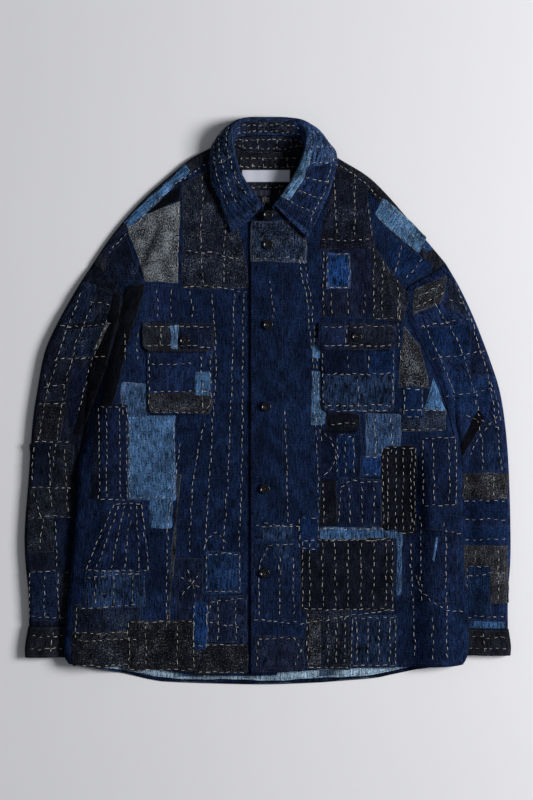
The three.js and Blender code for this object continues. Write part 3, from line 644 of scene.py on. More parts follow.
left_grid = placed_grid(LEFT, front_left_place, front_grid(LEFT, PLACKET_EDGE))
right_grid = placed_grid(RIGHT, front_right_place, front_grid(RIGHT, -PLACKET_UNDER))
front_left = panel("front_left_cloth", left_grid, NAVY, 0.6, 0.32)
front_right = panel("front_right_cloth", right_grid, NAVY, 0.65, 0.4, flip=True)
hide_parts("front_left")
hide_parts("front_right")

# ---- the back and its yoke -----------------------------------------------------------------------
# The back is one panel, a little longer than the fronts, so its pale inside shows below their hem.
# The yoke is sewn to it, runs up to the neck and comes over the shoulders to the front.
YOKE_DIP, YOKE_MIDDLE, YOKE_WIDTH = 100.0, 272.0, 260.0
NECK_WIDTH = 58
YOKE_ROWS_UNDER, YOKE_ROWS_OVER = 46, 12
SHOULDER_COLUMNS, NECK_COLUMNS = 90, 24
LEFT["armhole_back"] = through([(268, 207), (260, 172), (258, 110), (264, 30), (284, -46)], 40)
RIGHT["armhole_back"] = through([(263, 206), (256, 172), (254, 110), (258, 30), (275, -50)], 40)
LEFT["back_hem"] = [(0, -425.5), (70, -423), (100, -421), (160, -416), (190, -410), (250, -398),
                    (292, -394)]
RIGHT["back_hem"] = [(0, -425.5), (65, -424.5), (140, -422), (170, -419), (215, -409), (250, -402),
                     (297, -393)]
inside_cloth = cloth_material("cloth_inside", dye(150, 164, 174) + (1,))


def yoke_back(x):
    """The back seam of the yoke, falling with the square of the distance from the middle."""
    return YOKE_MIDDLE - YOKE_DIP * (x / YOKE_WIDTH) ** 2


def back_points(rows=140, columns=120):
    """The back panel between its two edges, hem and yoke seam, on the surface and rolled up its sides."""
    def edge(half):
        sewn = spaced(half["armhole_back"], np.linspace(1, 0.14, 40))[1:] - (1.5 * SEAM, 0)
        sewn[-1, 1] = yoke_back(sewn[-1, 0])
        return np.vstack([half["side_line"][::-1], sewn]) * (half["sign"], 1)
    v = np.linspace(0, 1, rows)
    hem = [(-x, y) for x, y in RIGHT["back_hem"][::-1]] + LEFT["back_hem"][1:]
    bottom = through(hem, 120)
    near, far = edge(RIGHT), edge(LEFT)
    x = np.linspace(near[-1, 0], far[-1, 0], 60)
    top = np.stack([x, yoke_back(x)], -1)
    near[0], far[0] = bottom[0], bottom[-1]
    near, far = spaced(near, v), spaced(far, v)
    u = rolled_shares(np.linalg.norm(far - near, axis=1), columns, both=True)
    p = ruled(bottom, top, near, far, u, v)
    under = [top_height(half, np.abs(p[..., 0]), p[..., 1], over=False) for half in (RIGHT, LEFT)]
    return np.concatenate([p, np.where(p[..., 0] < 0, *under)[..., None]], -1)


back_chart = back_points()
from_side = np.minimum(*(distance(half["sign"] * back_chart[..., 0], back_chart[..., 1], half["side_line"])
                         for half in (LEFT, RIGHT)))
pale = (smooth(10, 34, from_side) * smooth(1, 6, back_chart[..., 1] - back_chart[:1, :, 1]))[..., None]
back_tone = (np.array(DEEP) + (np.array(dye(116, 138, 156)) - np.array(DEEP)) * pale).reshape(-1, 3)
back_panel = panel("back_cloth", back_chart, back_tone, 0.5, 0.95 * pale.ravel(), thick=1.2, offset=0.0,
                   material=inside_cloth, inside=boro_cloth)
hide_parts("back_panel")


def yoke_points():
    """Columns from the right shoulder's end across the neck to the left one's; each runs from the back
    seam up to the neck, or round the shoulder fold and down to the front seam."""
    under, over = np.linspace(0, 1, YOKE_ROWS_UNDER), np.linspace(0, 1, YOKE_ROWS_OVER + 1)[1:]

    def shoulder(half, share):
        fold = spaced(half["fold_line"][:SHOULDER_POINTS], share)
        seam = spaced(yoke_seam(half), share)
        start_x = NECK_WIDTH + (half["armhole_back"][8, 0] - SEAM - NECK_WIDTH) * share
        start = np.stack([start_x, yoke_back(start_x) + SEAM], -1)
        reach = 1 - (1 - under) ** 1.8
        lower = start + (fold - start) * reach[:, None, None]
        upper = fold + (seam - fold) * (over ** 1.6)[:, None, None]
        z = np.concatenate([top_height(half, lower[..., 0], lower[..., 1], over=False),
                            top_height(half, upper[..., 0], upper[..., 1])])
        return np.concatenate([np.concatenate([lower, upper]), z[..., None]], -1) * (half["sign"], 1, 1)

    def neck(half, share):
        curve = through(half["neck"], 129, even=False)
        spans = np.linspace(0, len(half["neck"]) - 1, len(curve))
        end = np.stack([np.interp(share * 2.4, spans, column) for column in curve.T], -1) - (0, SEAM, 0)
        start = np.stack([NECK_WIDTH * share, yoke_back(NECK_WIDTH * share) + SEAM, REST + 0 * share], -1)
        p = start + (end - start) * under[:, None, None]
        p[..., 2] = REST + (end[:, 2] - REST) * smooth(0.86, 1, under)[:, None]
        p = np.concatenate([p, np.repeat(end[None], len(over), 0)])
        return p * (half["sign"], 1, 1)

    s = np.linspace(0, 1, SHOULDER_COLUMNS)
    n = np.linspace(0, 0.93, NECK_COLUMNS)
    columns = [shoulder(RIGHT, s)[:, ::-1], neck(RIGHT, n)[:, ::-1], neck(LEFT, n[1:]), shoulder(LEFT, s)]
    return np.concatenate(columns, axis=1)


yoke_chart = yoke_points()
# The rows that run over the shoulders are left out across the neck.
row, column = np.indices((yoke_chart.shape[0] - 1, yoke_chart.shape[1] - 1))
yoke_keep = ((row < YOKE_ROWS_UNDER - 1) | (column < SHOULDER_COLUMNS - 1)
             | (column >= yoke_chart.shape[1] - SHOULDER_COLUMNS))
back_yoke = panel("yoke_cloth", yoke_chart, CHARCOAL, 0.55, 0.45, flip=True, keep=yoke_keep, thick=1.2)
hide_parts("back_yoke")


# ---- sleeves and cuffs ---------------------------------------------------------------------------
# Each sleeve is a wide tube pressed flat and folded down beside the body, set into the dropped
# armhole, with a doubled cuff at its end. It lies low under the body's side and fuller beside it.
BAND = 2.2
LEFT["outer"] = through([(268, 207), (289, 170), (311, 122), (334, 62), (349, 14), (358, -45), (363, -118),
                         (365, -226), (361, -290), (361, -341)], 120)
LEFT["inner"] = through([(285, -47), (287, -60), (288, -82), (287, -112), (277, -150), (264, -200),
                         (256, -270), (256, -341)], 120)
LEFT["cuff"] = [(361, -341.6), (364.5, -366), (364, -381)], [(256, -341.6), (256, -366), (256, -381)]
RIGHT["outer"] = through([(263, 206), (286, 170), (313, 122), (334, 75), (346, 14), (353, -35), (359, -118),
                          (365, -210), (359, -290), (358, -337)], 120)
RIGHT["inner"] = through([(276, -51), (277, -64), (279, -86), (279, -114), (271, -150), (262, -200),
                          (254, -270), (255, -337)], 120)
RIGHT["cuff"] = [(358, -337.6), (363, -366), (363, -384)], [(255, -337.6), (256, -366), (256, -384)]
# Creases on the sleeves, like those on the body, x outwards: two ends, half width, height.
SLEEVE_CREASES = {
    1: [(326, -10, 290, -74, 11, -4.5), (274, 175, 214, 138, 5, -3.2), (262, 165, 222, 128, 6, 2.0),
        (300, -42, 334, 44, 7, -2.4), (290, -20, 322, 60, 8, 1.8), (330, -60, 346, -300, 14, 1.0),
        (300, -190, 340, -330, 10, -1.0),
        (250, 70, 300, 120, 14, 1.5), (238, 110, 290, 60, 9, -1.2)],
    -1: [(232, 140, 272, -30, 16, -4.0), (300, 96, 318, 44, 5, 1.8), (311, 34, 296, -58, 6, -2.2),
         (246, 100, 272, 148, 7, 1.6), (262, 60, 300, 150, 9, -1.4), (320, -60, 340, -300, 12, 1.2),
         (300, -120, 330, -300, 9, -1.0),
         (270, 20, 286, 90, 8, 1.6)],
}


def sleeve_height(half, x, y):
    """The free sleeve's upper layer: low under the body, fuller beside it, with its own creases."""
    side = np.interp(-y, -half["side_line"][:, 1], half["side_line"][:, 0])
    beside = x - side + 0.6 * np.maximum(0, y - half["side"][0][1])
    z = LAY + 5.5 * smooth(6, 30, beside)
    for ax, ay, bx, by, width, height in SLEEVE_CREASES[half["sign"]]:
        bell = np.exp(-(distance(x, y, [(ax, ay), (bx, by)]) / width) ** 2)
        z = z + height * bell * smooth(0, 20, beside)
    return z + 0.35 * np.sin(x / 11 + y / 47) * smooth(6, 30, beside)


def on_sleeve(half, over=True):
    """Places (x with its sign, y) on a sleeve: its free height rounded at its two folds, blended to the
    body's own height over the last stretch before the armhole seam."""
    folds = half["outer"], half["inner"]

    def place(x, y):
        out = x * half["sign"]
        to_body = smooth(0, 70, distance(out, y, half["armhole_line"]))
        high = top_height(half, out, y)
        high = high + (sleeve_height(half, out, y) - high) * to_body
        low = top_height(half, out, y, over=False)
        low = low + (REST - low) * to_body
        rounding = quarter(np.minimum(*(distance(out, y, fold) for fold in folds)) / ROLL)
        middle = (high + low) / 2
        return np.stack([x, y, middle + ((high if over else low) - middle) * rounding], -1)
    return place


def sleeve_chart(half, s, u, over=True):
    """The plan of a flattened tube: share s from the outer fold to the inner one, u from the shoulder
    to the cuff, its upper end bent onto the armhole seam, the bend fading halfway down."""
    seam_line = half["armhole_line"] if over else half["armhole_back"]
    s, u = np.broadcast_arrays(np.asarray(s, float), np.asarray(u, float))
    keep = (1 - smooth(0, 0.5, u))[..., None]
    tangent = spaced(seam_line, np.minimum(1, s + 0.01)) - spaced(seam_line, np.maximum(0, s - 0.01))
    tangent = tangent / np.linalg.norm(tangent, axis=-1, keepdims=True)
    shoulder_end = half["fold_line"][SHOULDER_POINTS - 1]
    chord = shoulder_end + (half["inner"][0] - shoulder_end) * s[..., None]
    away = np.stack([-tangent[..., 1], tangent[..., 0]], -1) * (SEAM + 0.8 * s ** 4)[..., None]
    outer, inner = spaced(half["outer"], u), spaced(half["inner"], u)
    p = outer + (inner - outer) * s[..., None] + (spaced(seam_line, s) - chord + away) * keep
    return p[..., 0] * half["sign"], p[..., 1]


def tube_shares(columns):
    """Shares across a flattened tube, close together at both folds."""
    t = np.linspace(0, 1, columns)
    return t - 0.8 * np.sin(2 * math.pi * t) / (2 * math.pi)


def tube(place_over, place_under, width, length, rows, columns):
    """A ring out over the top and back along the underside for each row, with its unrolled chart."""
    s = tube_shares(columns)
    u = np.linspace(0, 1, rows)
    over = place_over(s[None], u[:, None])
    under = place_under(s[None, ::-1][:, 1:-1], u[:, None])
    points = np.concatenate([over, under], axis=1)
    around = np.concatenate([s, 2 - s[::-1][1:-1], [2]]) * width
    return points, np.stack(np.broadcast_arrays(around[None], u[:, None] * length), -1)


for name, half, tone in [("left", LEFT, dye(18, 30, 58)), ("right", RIGHT, dye(15, 19, 32))]:
    half["on_sleeve"] = on_sleeve(half)
    upper = lambda s, u, half=half: half["on_sleeve"](*sleeve_chart(half, s, u))
    lower = lambda s, u, half=half: on_sleeve(half, over=False)(*sleeve_chart(half, s, u, over=False))
    points, chart = tube(upper, lower, width=130, length=560, rows=150, columns=44)
    made = panel(f"sleeve_{name}_cloth", points, tone, 0.6, 0.42, closed=True, flip=half["sign"] < 0,
                 thick=1.2, uv=chart)
    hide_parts(f"sleeve_{name}")
    half["sleeve_cloth"] = made


def on_cuff(half, over=True):
    """Places (share across, share down) on a cuff: a flattened tube between its two folded edges."""
    outer, inner = (through(line, 20) for line in half["cuff"])

    def place(s, u):
        s, u = np.broadcast_arrays(np.asarray(s, float), np.asarray(u, float))
        a, b = spaced(outer, u), spaced(inner, u)
        p = a + (b - a) * s[..., None]
        high = sleeve_height(half, p[..., 0], p[..., 1]) + 0.4
        rest = BAND / 2
        middle = (high + rest) / 2
        edge = quarter(np.minimum(s, 1 - s) * np.linalg.norm(a - b, axis=-1) / ROLL)
        z = middle + ((high if over else rest) - middle) * edge
        return np.stack([p[..., 0] * half["sign"], p[..., 1], z], -1)
    return place


for name, half in [("left", LEFT), ("right", RIGHT)]:
    half["on_cuff"] = on_cuff(half)
    under = on_cuff(half, over=False)
    points, chart = tube(half["on_cuff"], under, width=108, length=42, rows=20, columns=40)
    made = panel(f"cuff_{name}_cloth", points, CHARCOAL, 0.4, 0.6, closed=True, flip=half["sign"] < 0,
                 thick=2.0, offset=0.0, uv=chart)
    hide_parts(f"cuff_{name}")
    half["cuff_cloth"] = made

# ---- collar --------------------------------------------------------------------------------------
# A stand sewn to the neck and a fall with long points, turned down over it and stiffened, so that it
# rises in a roll at the shoulders. The fall stands open at the back, where its inside shows.
LEFT["collar"] = [
    [(0, 399, 14), (0, 421, 25), (0, 424, 9), (0, 386, 1.6)],
    [(30, 398, 15), (31, 420, 26), (32, 423.5, 10), (34, 387, 1.6)],
    [(50, 392, 19), (52, 414, 33), (62, 416, 17), (68, 405, 2.4)],
    [(55, 374, 22), (59, 390, 36), (82, 395, 22), (93, 387, 5)],
    [(49, 350, 21), (51, 358, 34), (80, 358, 29), (104, 364, 17)],
    [(35, 323, 18), (37, 330, 28), (68, 322, 25), (94, 318, 18)],
    [(20, 301, 15), (21, 307, 21), (50, 291, 21), (78, 281, 16)],
    [(7, 288, 15), (9, 293, 18), (36, 268, 17.5), (61, 244, 14)],
]
RIGHT["collar"] = [
    [(0, 399, 14), (0, 421, 25), (0, 424, 9), (0, 386, 1.6)],
    [(30, 398, 15), (31, 420, 26), (32, 423.5, 10), (34, 387, 1.6)],
    [(47, 394, 19), (49, 413, 32), (55, 415, 17), (60, 406, 2.4)],
    [(50, 380, 22), (53, 397, 35), (71, 395, 24), (81, 388, 5)],
    [(47, 356, 21), (50, 371, 34), (69, 362, 29), (86, 363, 17)],
    [(39, 333, 18), (42, 344, 29), (62, 336, 26), (84, 328, 17)],
    [(24, 309, 14), (26, 318, 22), (50, 303, 20), (72, 300, 15)],
    [(6, 288, 14), (6, 293, 17), (30, 269, 16), (54, 252, 13)],
]
LEFT["stand_end"], RIGHT["stand_end"] = (-3, 286, 16), (-3, 285, 12.4)
STATION_STEPS = 16


def both_sides(pick):
    """One lengthwise curve of the collar, from the wearer's right front end to the left one."""
    right = [(-x, y, z) for x, y, z in pick(RIGHT)][::-1]
    return through(right + list(pick(LEFT))[1:], STATION_STEPS * (2 * len(right) - 2) + 1, even=False)


fall_curves = np.stack([both_sides(lambda half: [station[k] for station in half["collar"]])
                        for k in range(4)], 1)


def fall_section(t):
    """The fall's section at share t from the stand to its free edge: a cubic through its four curves,
    with knots spaced by the square root of the distance between them."""
    p = np.concatenate([2 * fall_curves[:, :1] - fall_curves[:, 1:2], fall_curves,
                        2 * fall_curves[:, -1:] - fall_curves[:, -2:-1]], axis=1)
    knots = np.sqrt(np.linalg.norm(np.diff(p, axis=1), axis=-1, keepdims=True))
    span = np.minimum(2, (t * 3).astype(int))
    f = (t * 3 - span)[None, :, None]
    a, b, c, d = (p[:, span + k] for k in range(4))
    before, here, after = (knots[:, span + k] for k in range(3))
    slope_in = ((b - a) / before - (c - a) / (before + here) + (c - b) / here) * here
    slope_out = ((c - b) / here - (d - b) / (here + after) + (d - c) / after) * here
    return (b * (1 + 2 * f) * (1 - f) ** 2 + c * f * f * (3 - 2 * f) + slope_in * f * (1 - f) ** 2
            + slope_out * f * f * (f - 1))


fall_grid = fall_section(np.linspace(0, 1, 40))


def on_grid(grid):
    """Places (share along the rows, share along the columns) on a grid of points, straight between."""
    def place(a, b):
        a, b = np.broadcast_arrays(np.clip(a, 0, 1), np.clip(b, 0, 1))
        i = a * (grid.shape[0] - 1)
        j = b * (grid.shape[1] - 1)
        i0 = np.minimum(i.astype(int), grid.shape[0] - 2)
        j0 = np.minimum(j.astype(int), grid.shape[1] - 2)
        fi, fj = (i - i0)[..., None], (j - j0)[..., None]
        return ((grid[i0, j0] * (1 - fi) + grid[i0 + 1, j0] * fi) * (1 - fj)
                + (grid[i0, j0 + 1] * (1 - fi) + grid[i0 + 1, j0 + 1] * fi) * fj)
    return place


def strip_chart(grid, length, width):
    """The weave's chart of a strip: its length along the neck and its width across."""
    along, across = np.linspace(0, length, grid.shape[0]), np.linspace(0, width, grid.shape[1])
    return np.stack(np.broadcast_arrays(across[None], along[:, None]), -1)


fall_place = on_grid(fall_grid)
side_share = np.linspace(0, 1, fall_grid.shape[0])[:, None, None]
fall_tone = np.where(side_share < 0.5, np.array(dye(19, 32, 58)), np.array(dye(24, 40, 70)))
fall_tone = np.broadcast_to(fall_tone, (*fall_grid.shape[:2], 3)).reshape(-1, 3)
collar_fall = panel("collar_fall_cloth", fall_grid, fall_tone, 1.1, 1.1, flip=True, thick=2.0, offset=0.0,
                    uv=strip_chart(fall_grid, 620, 78))
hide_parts("collar_fall")

stand_low = both_sides(lambda half: half["neck"])
stand_high = both_sides(lambda half: [station[0] for station in half["collar"]] + [half["stand_end"]])
stand_length = np.linalg.norm(stand_high - stand_low, axis=-1, keepdims=True)[:, None]
stand_share = 0.3 / stand_length + (1 - 1.7 / stand_length) * np.linspace(0, 1, 12)[:, None]
stand_grid = stand_low[:, None] + (stand_high - stand_low)[:, None] * stand_share
stand_place = on_grid(stand_grid)
collar_stand = panel("collar_stand_cloth", stand_grid, dye(22, 26, 38), 0.5, 0.5, thick=2.0, offset=0.0,
                     uv=strip_chart(stand_grid, 500, 26))
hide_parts("collar_stand")

# ---- chest pockets -------------------------------------------------------------------------------
# A bag with rounded lower corners sewn on each front, and a doubled flap buttoned over it. Both are
# pieced from several cloths.
POCKETS = {"left": (LEFT, front_left_place, (76, 193, 76, 119), (80, 191, -17, 104), 14),
           "right": (RIGHT, front_right_place, (-187, -80, 74, 118), (-181, -82, -20, 104), 16)}
POCKET_RAISE = 2.4


def pocket_points(place, sides, corner, raise_by, columns=44, rows=40):
    """A patch on a front, raised by a height that depends on y, its two lower corners cut as quarter
    circles and its rim turned down over the last two millimetres."""
    x0, x1, y0, y1 = sides
    share = (1 - np.cos(math.pi * np.linspace(0, 1, columns))) / 2
    x = x0 + (x1 - x0) * share
    inward = np.maximum(0, corner - np.minimum(x - x0, x1 - x))
    low = y0 + corner - np.sqrt(corner ** 2 - inward ** 2)
    y = low + (y1 - low) * np.linspace(0, 1, rows)[:, None]
    x = np.broadcast_to(x, y.shape)
    points = place(x, y)
    rim = np.minimum(np.minimum(x - x0, x1 - x), y - low)
    swell = 0.5 * np.sin(x / 13 + 1) * smooth(0, 25, rim)
    points[..., 2] += raise_by(y) - 0.9 * (1 - smooth(0, 2, rim)) + swell
    return points


for name, (half, place, flap, bag, corner) in POCKETS.items():
    over_bag = lambda y, bag=bag: POCKET_RAISE * (1 + smooth(bag[3] + 12, bag[3] + 2, y)) + 0.4
    bag_points = pocket_points(place, bag, corner, lambda y: POCKET_RAISE - 0.5)
    flap_points = pocket_points(place, flap, corner - 2, over_bag, rows=24)
    half["bag_place"] = lambda x, y, place=place: place(x, y) + (0, 0, POCKET_RAISE - 0.5)
    half["flap_place"] = lambda x, y, place=place, lift=over_bag: (
        place(x, y) + np.stack([0 * x, 0 * x, lift(y)], -1))
    half["bag_cloth"] = panel(f"pocket_{name}_cloth", bag_points, dye(18, 30, 58), 0.6, 0.3, thick=1.3,
                              offset=0.0)
    half["flap_cloth"] = panel(f"flap_{name}_cloth", flap_points,
                               dye(20, 26, 44) if name == "left" else dye(26, 28, 36), 0.6, 0.5, thick=1.5,
                               offset=0.0)
    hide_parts(f"pocket_{name}")
    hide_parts(f"pocket_flap_{name}")

# ---- patches and running stitches on the wearer's left front -------------------------------------
# Rectangles of older indigo and charcoal cloth laid over each other with raw edges, held down by rows
# of running stitch in unbleached thread: upright rows over the dark ones, and a row round the others.
left_front_patches = [
    (box(-25, 58, 209, 271), dye(17, 27, 44), 1.5, 1.5, 6.0, 3, 0),
    ([(78, 228), (160, 226), (148, 333), (100, 354)], dye(15, 18, 31), 0.6, 1.1, 1.0, 3, 0),
    (box(82, 160, 126, 230), dye(16, 22, 40), 0.6, 0.4, 1.0, 3, 0),
    (box(88, 125, 168, 224), dye(17, 42, 82), 1.3, 1.0, 7.0, 3, 1),
    ([(158, 122), (204, 120), (212, 160), (158, 236)], dye(19, 22, 33), 0.6, 1.2, 1.5, 4, 1),
    ([(178, 200), (212, 176), (252, 204), (182, 250)], BLUE, 0.6, 0.6, 1.5, 4, 0),
    ([(161, 279), (226, 222), (240, 247), (173, 307)], dye(62, 92, 124), 0.5, 0.9, 2.5, 4, 2),
    ([(196, 20), (243, 20), (229, 82), (204, 116)], dye(22, 23, 30), 0.8, 1.9, 3.0, 3, 1),
    ([(236, -10), (266, -14), (257, 16), (248, 34)], LIGHT, 0.8, 1.0, 4.0, 2, 1),
    (box(203, 233, -26, 22), BLUE, 0.5, 0.3, 1.0, 3, 2),
    (box(198, 268, -44, -12), dye(22, 29, 44), 0.8, 1.2, 2.5, 2, 0),
    (box(148, 200, -82, -18), dye(38, 58, 88), 0.9, 1.3, 6.0, 3, 0),
    (box(172, 223, -200, -66), BLACK, 0.4, 0.4, 1.2, 18, 2),
    (box(80, 140, -120, -40), DEEP, 0.6, 0.4, 1.5, 2, 0),
    (box(89, 137, -50, -18), BLACK, 0.5, 0.7, 1.5, 3, 0),
    (box(103, 131, -113, -49), BLUE, 0.7, 0.5, 1.5, 3, 1),
    (box(142, 169, -113, -81), dye(17, 38, 74), 0.7, 0.5, 1.5, 3, 1),
    (box(79, 104, -188, -114), BLACK, 0.5, 0.6, 1.5, 3, 0),
    ([(103, -190), (172, -190), (172, -116), (106, -113)], dye(13, 22, 44), 0.7, 0.6, 3.0, 10, 1),
    (box(-11, 37, -238, -188), dye(24, 38, 62), 1.4, 0.9, 2.0, 2, 0),
    (box(79, 197, -206, -189), dye(36, 60, 90), 1.1, 1.3, 5.0, 3, 2),
    ([(193, -290), (200, -289), (204, -196), (193, -198)], dye(38, 62, 92), 0.9, 1.2, 5.0, 4, 3),
    (box(50, 190, -314, -206), dye(13, 16, 27), 0.5, 0.6, 1.5, 3, 1),
    (box(58, 126, -402, -313), dye(15, 20, 32), 0.9, 1.1, 2.0, 3, 0),
    (box(62, 80, -396, -318), dye(22, 24, 32), 1.2, 1.7, 3.0, 3, 1),
    (box(124, 194, -399, -322), dye(15, 26, 46), 1.2, 0.8, 1.5, 6, 1),
    (box(47, 77, -224, -171), BLUE, 0.6, 0.4, 1.2, 5, 3),
    (box(-20, 50, -330, -207), dye(13, 24, 47), 0.7, 0.5, 1.2, 6, 0),
    (box(-20, 56, -404, -352), dye(17, 24, 42), 0.7, 0.9, 1.5, 6, 0),
    ([(206, -300), (286, -300), (284, -194), (206, -190)], dye(12, 22, 45), 0.7, 0.4, 1.5, 6, 0),
    (box(232, 284, -158, -52), dye(11, 21, 44), 0.6, 0.3, 1.2, 8, 1),
    (box(67, 80, 66, 94), LIGHT, 0.9, 1.0, 3.5, 3, 0),
    (box(66, 86, -36, 46), dye(46, 72, 102), 0.9, 1.1, 4.0, 4, 0),
    ([(246, -238), (249, -240), (257, -200), (250, -202)], dye(50, 78, 114), 1.2, 1.2, 6.0, 2, 2),
]
left_patches = sew_patches("patches_left_front", front_left_place, left_front_patches)
left_rows = on(front_left_place, [
    ([(26, -12), (31, -184)], 0), ([(3, 184), (9, 122)], 0),
    ([(47, 214), (60, 150), (68, 60), (75, -80), (77, -170)], 0),
    ([(53, 214), (66, 150), (74, 60), (81, -60)], 0),
    ([(-20, 213), (56, 216)], 0.4), ([(-20, -186), (50, -187)], 0),
    ([(-22, -328), (52, -332), (120, -322), (192, -312)], 0.6),
    ([(222, -258), (230, -282), (246, -300), (268, -312), (294, -314)], 0.4),
    ([(230, -170), (231, -300)], 0.4), ([(266, -200), (268, -384)], 0.4),
    ([(263, -178), (266, -194), (280, -198), (291, -196)], 0.4),
    ([(214, -210), (222, -384)], 0.4), ([(246, -320), (248, -388)], 0),
    ([(78, 244), (118, 241), (156, 243)], 0.4), ([(131, 345), (131, 246)], 0.4),
    ([(100, 340), (104, 250)], 0.4), ([(150, 300), (157, 246)], 0.4),
    ([(84, -46), (98, -60), (104, -88), (84, -112)], 0.4), ([(92, -34), (134, -32)], 0.5),
    *outline(box(103, 131, -113, -49), 0.5, "tlr"), ([(117, -56), (117, -110)], 0.5),
    *outline(box(142, 169, -113, -81), 0.5, "tb"), ([(-8, -184), (40, -186)], 0.4),
    ([(108, -184), (110, -128), (124, -119), (168, -121)], 0.6), ([(84, -120), (85, -184)], 0.4),
    ([(80, -192), (176, -190)], 0.8), ([(82, -209), (180, -207)], 0.8),
    ([(-14, -400), (-14, -356), (40, -354), (50, -372), (40, -398)], 0.4),
    ([(-14, -322), (-12, -240), (2, -216), (40, -214)], 0.4),
    ([(18, -232), (18, -322)], 0.4), ([(38, -232), (40, -322)], 0.4),
    ([(200, 150), (196, 110), (200, 60)], 0.5),
    *field(box(54, 188, -310, -210), 7, 0.7), *outline(box(50, 190, -314, -206), 0.7),
    *field(box(175, 221, -194, -72), 4, 1.0), *outline(box(172, 223, -200, -66), 1.0),
    *outline(box(232, 284, -158, -52), 0.7), *field(box(236, 284, -150, -60), 2, 0.7),
    *outline(box(124, 194, -399, -322), 0.7), *field(box(126, 192, -392, -328), 4, 0.7),
    *outline(box(58, 126, -402, -313), 0.4, "lb"), *field(box(84, 122, -394, -320), 3, 0.4),
    *field(box(114, 170, -184, -126), 3, 0.7),
    *outline(box(47, 77, -224, -171), 1.2), *outline(box(88, 125, 168, 224), 0.7),
    *outline(box(203, 233, -26, 22), 1.0), *outline(box(198, 268, -44, -12), 0.4, "bt"),
    *outline([(158, 122), (204, 120), (212, 160), (158, 236)], 0.7, "lb"),
    *field([(160, 124), (206, 124), (208, 170), (162, 228)], 2, 0.7),
    *field([(184, 196), (214, 180), (250, 204), (186, 246)], 2, 0.4),
    *outline([(161, 279), (226, 222), (240, 247), (173, 307)], 1.0, "bt"),
    *field(box(84, 158, 128, 166), 3, 0.4), *outline(box(82, 160, 126, 230), 0.4, "l"),
    *field(box(150, 198, -80, -22), 2, 0.4),
])
left_stitches = run_stitches("stitches_left_front", left_rows)
left_seams = topstitch("seams_left_front", on(front_left_place, [
    ([(-23.5, 262), (-23.5, -404)], 0), ([(22, 206), (22, -400)], 0),
    ([(-20, -402), (46, -399), (104, -395), (214, -392), (268, -391), (288, -389)], 0)]))

# ---- patches and running stitches on the wearer's right front ------------------------------------
# A bleached shoulder patch over charcoal cloth, a ribbed navy length below with long rows, and a run
# of smaller blue and charcoal patches down the side to the hem. Two near-black pieces, one along the
# armhole and one below the collar, are painted shade laid in as cloth.
right_front_patches_and_shade = [
    ([(-128, 170), (-27, 170), (-60, 360), (-127, 328)], dye(20, 24, 37), 0.7, 1.4, 1.5, 3, 0),
    ([(-96, 300), (-50, 296), (-52, 340), (-90, 352)], dye(20, 22, 30), 0.5, 0.7, 1.0, 3, 1),
    ([(-184, 180), (-134, 177), (-132, 301), (-213, 270)], dye(34, 36, 40), 1.3, 2.4, 3.5, 3, 1),
    # painted shade: a near-black piece along the armhole, where the body's fold shades the front
    ([(-252, -12), (-234, -14), (-184, 176), (-211, 174)], dye(7, 9, 15), 0.5, 0.3, 1.0, 3, 2),
    (box(-218, -181, -25, 28), dye(40, 60, 88), 0.9, 1.2, 4.0, 5, 0),
    (box(-209, -138, -148, -22), dye(50, 76, 108), 0.7, 0.9, 2.0, 3, 1),
    (box(-177, -143, -190, -144), dye(48, 74, 106), 0.7, 0.9, 2.5, 6, 2),
    (box(-252, -210, -150, -4), dye(10, 19, 40), 0.6, 0.3, 1.2, 3, 2),
    ([(-274, -254), (-176, -257), (-188, -150), (-230, -150)], dye(11, 21, 44), 0.7, 0.4, 1.2, 3, 1),
    (box(-275, -184, -308, -252), dye(17, 30, 52), 1.5, 1.0, 1.5, 3, 2),
    (box(-289, -190, -358, -304), dye(15, 23, 39), 0.9, 1.1, 2.0, 3, 0),
    (box(-292, -204, -396, -344), dye(16, 18, 25), 0.7, 1.4, 2.0, 3, 1),
    (box(-211, -108, -404, -328), dye(17, 18, 24), 0.6, 1.35, 1.5, 14, 2),
    (box(-112, -90, -374, -300), dye(18, 40, 76), 0.9, 0.6, 2.5, 9, 3),
    (box(-94, -40, -288, -226), dye(17, 34, 62), 1.0, 0.8, 2.0, 3, 1),
    (box(-109, -30, -408, -364), dye(16, 18, 24), 0.7, 1.4, 1.5, 3, 1),
    (box(-138, -98, -330, -236), dye(15, 23, 42), 0.7, 0.6, 2.0, 6, 0),
    ([(-152, -330), (-147, -330), (-130, -110), (-134, -110)], dye(24, 27, 34), 1.0, 1.4, 3.0, 2, 1),
    # painted shade: a near-black piece below the collar, between it and the light strip, for shade on the
    # shoulder
    ([(-205, 272), (-131, 303), (-129, 326), (-150, 312)], dye(8, 10, 16), 0.5, 0.4, 1.0, 2, 0),
    ([(-238, 184), (-188, 180), (-216, 264), (-244, 232)], dye(10, 17, 32), 0.8, 0.8, 1.0, 2, 0),
    (box(-90, -30, -362, -292), dye(16, 25, 46), 0.8, 0.9, 1.5, 5, 0),
    ([(-264, -146), (-252, -146), (-250, -6), (-258, -6)], dye(13, 19, 34), 0.6, 0.5, 1.5, 3, 0),
    ([(-180, 122), (-132, 122), (-132, 172), (-176, 174)], dye(15, 25, 50), 0.6, 0.3, 1.2, 4, 0),
]
right_patches = sew_patches("patches_and_shade_right_front", front_right_place, right_front_patches_and_shade)
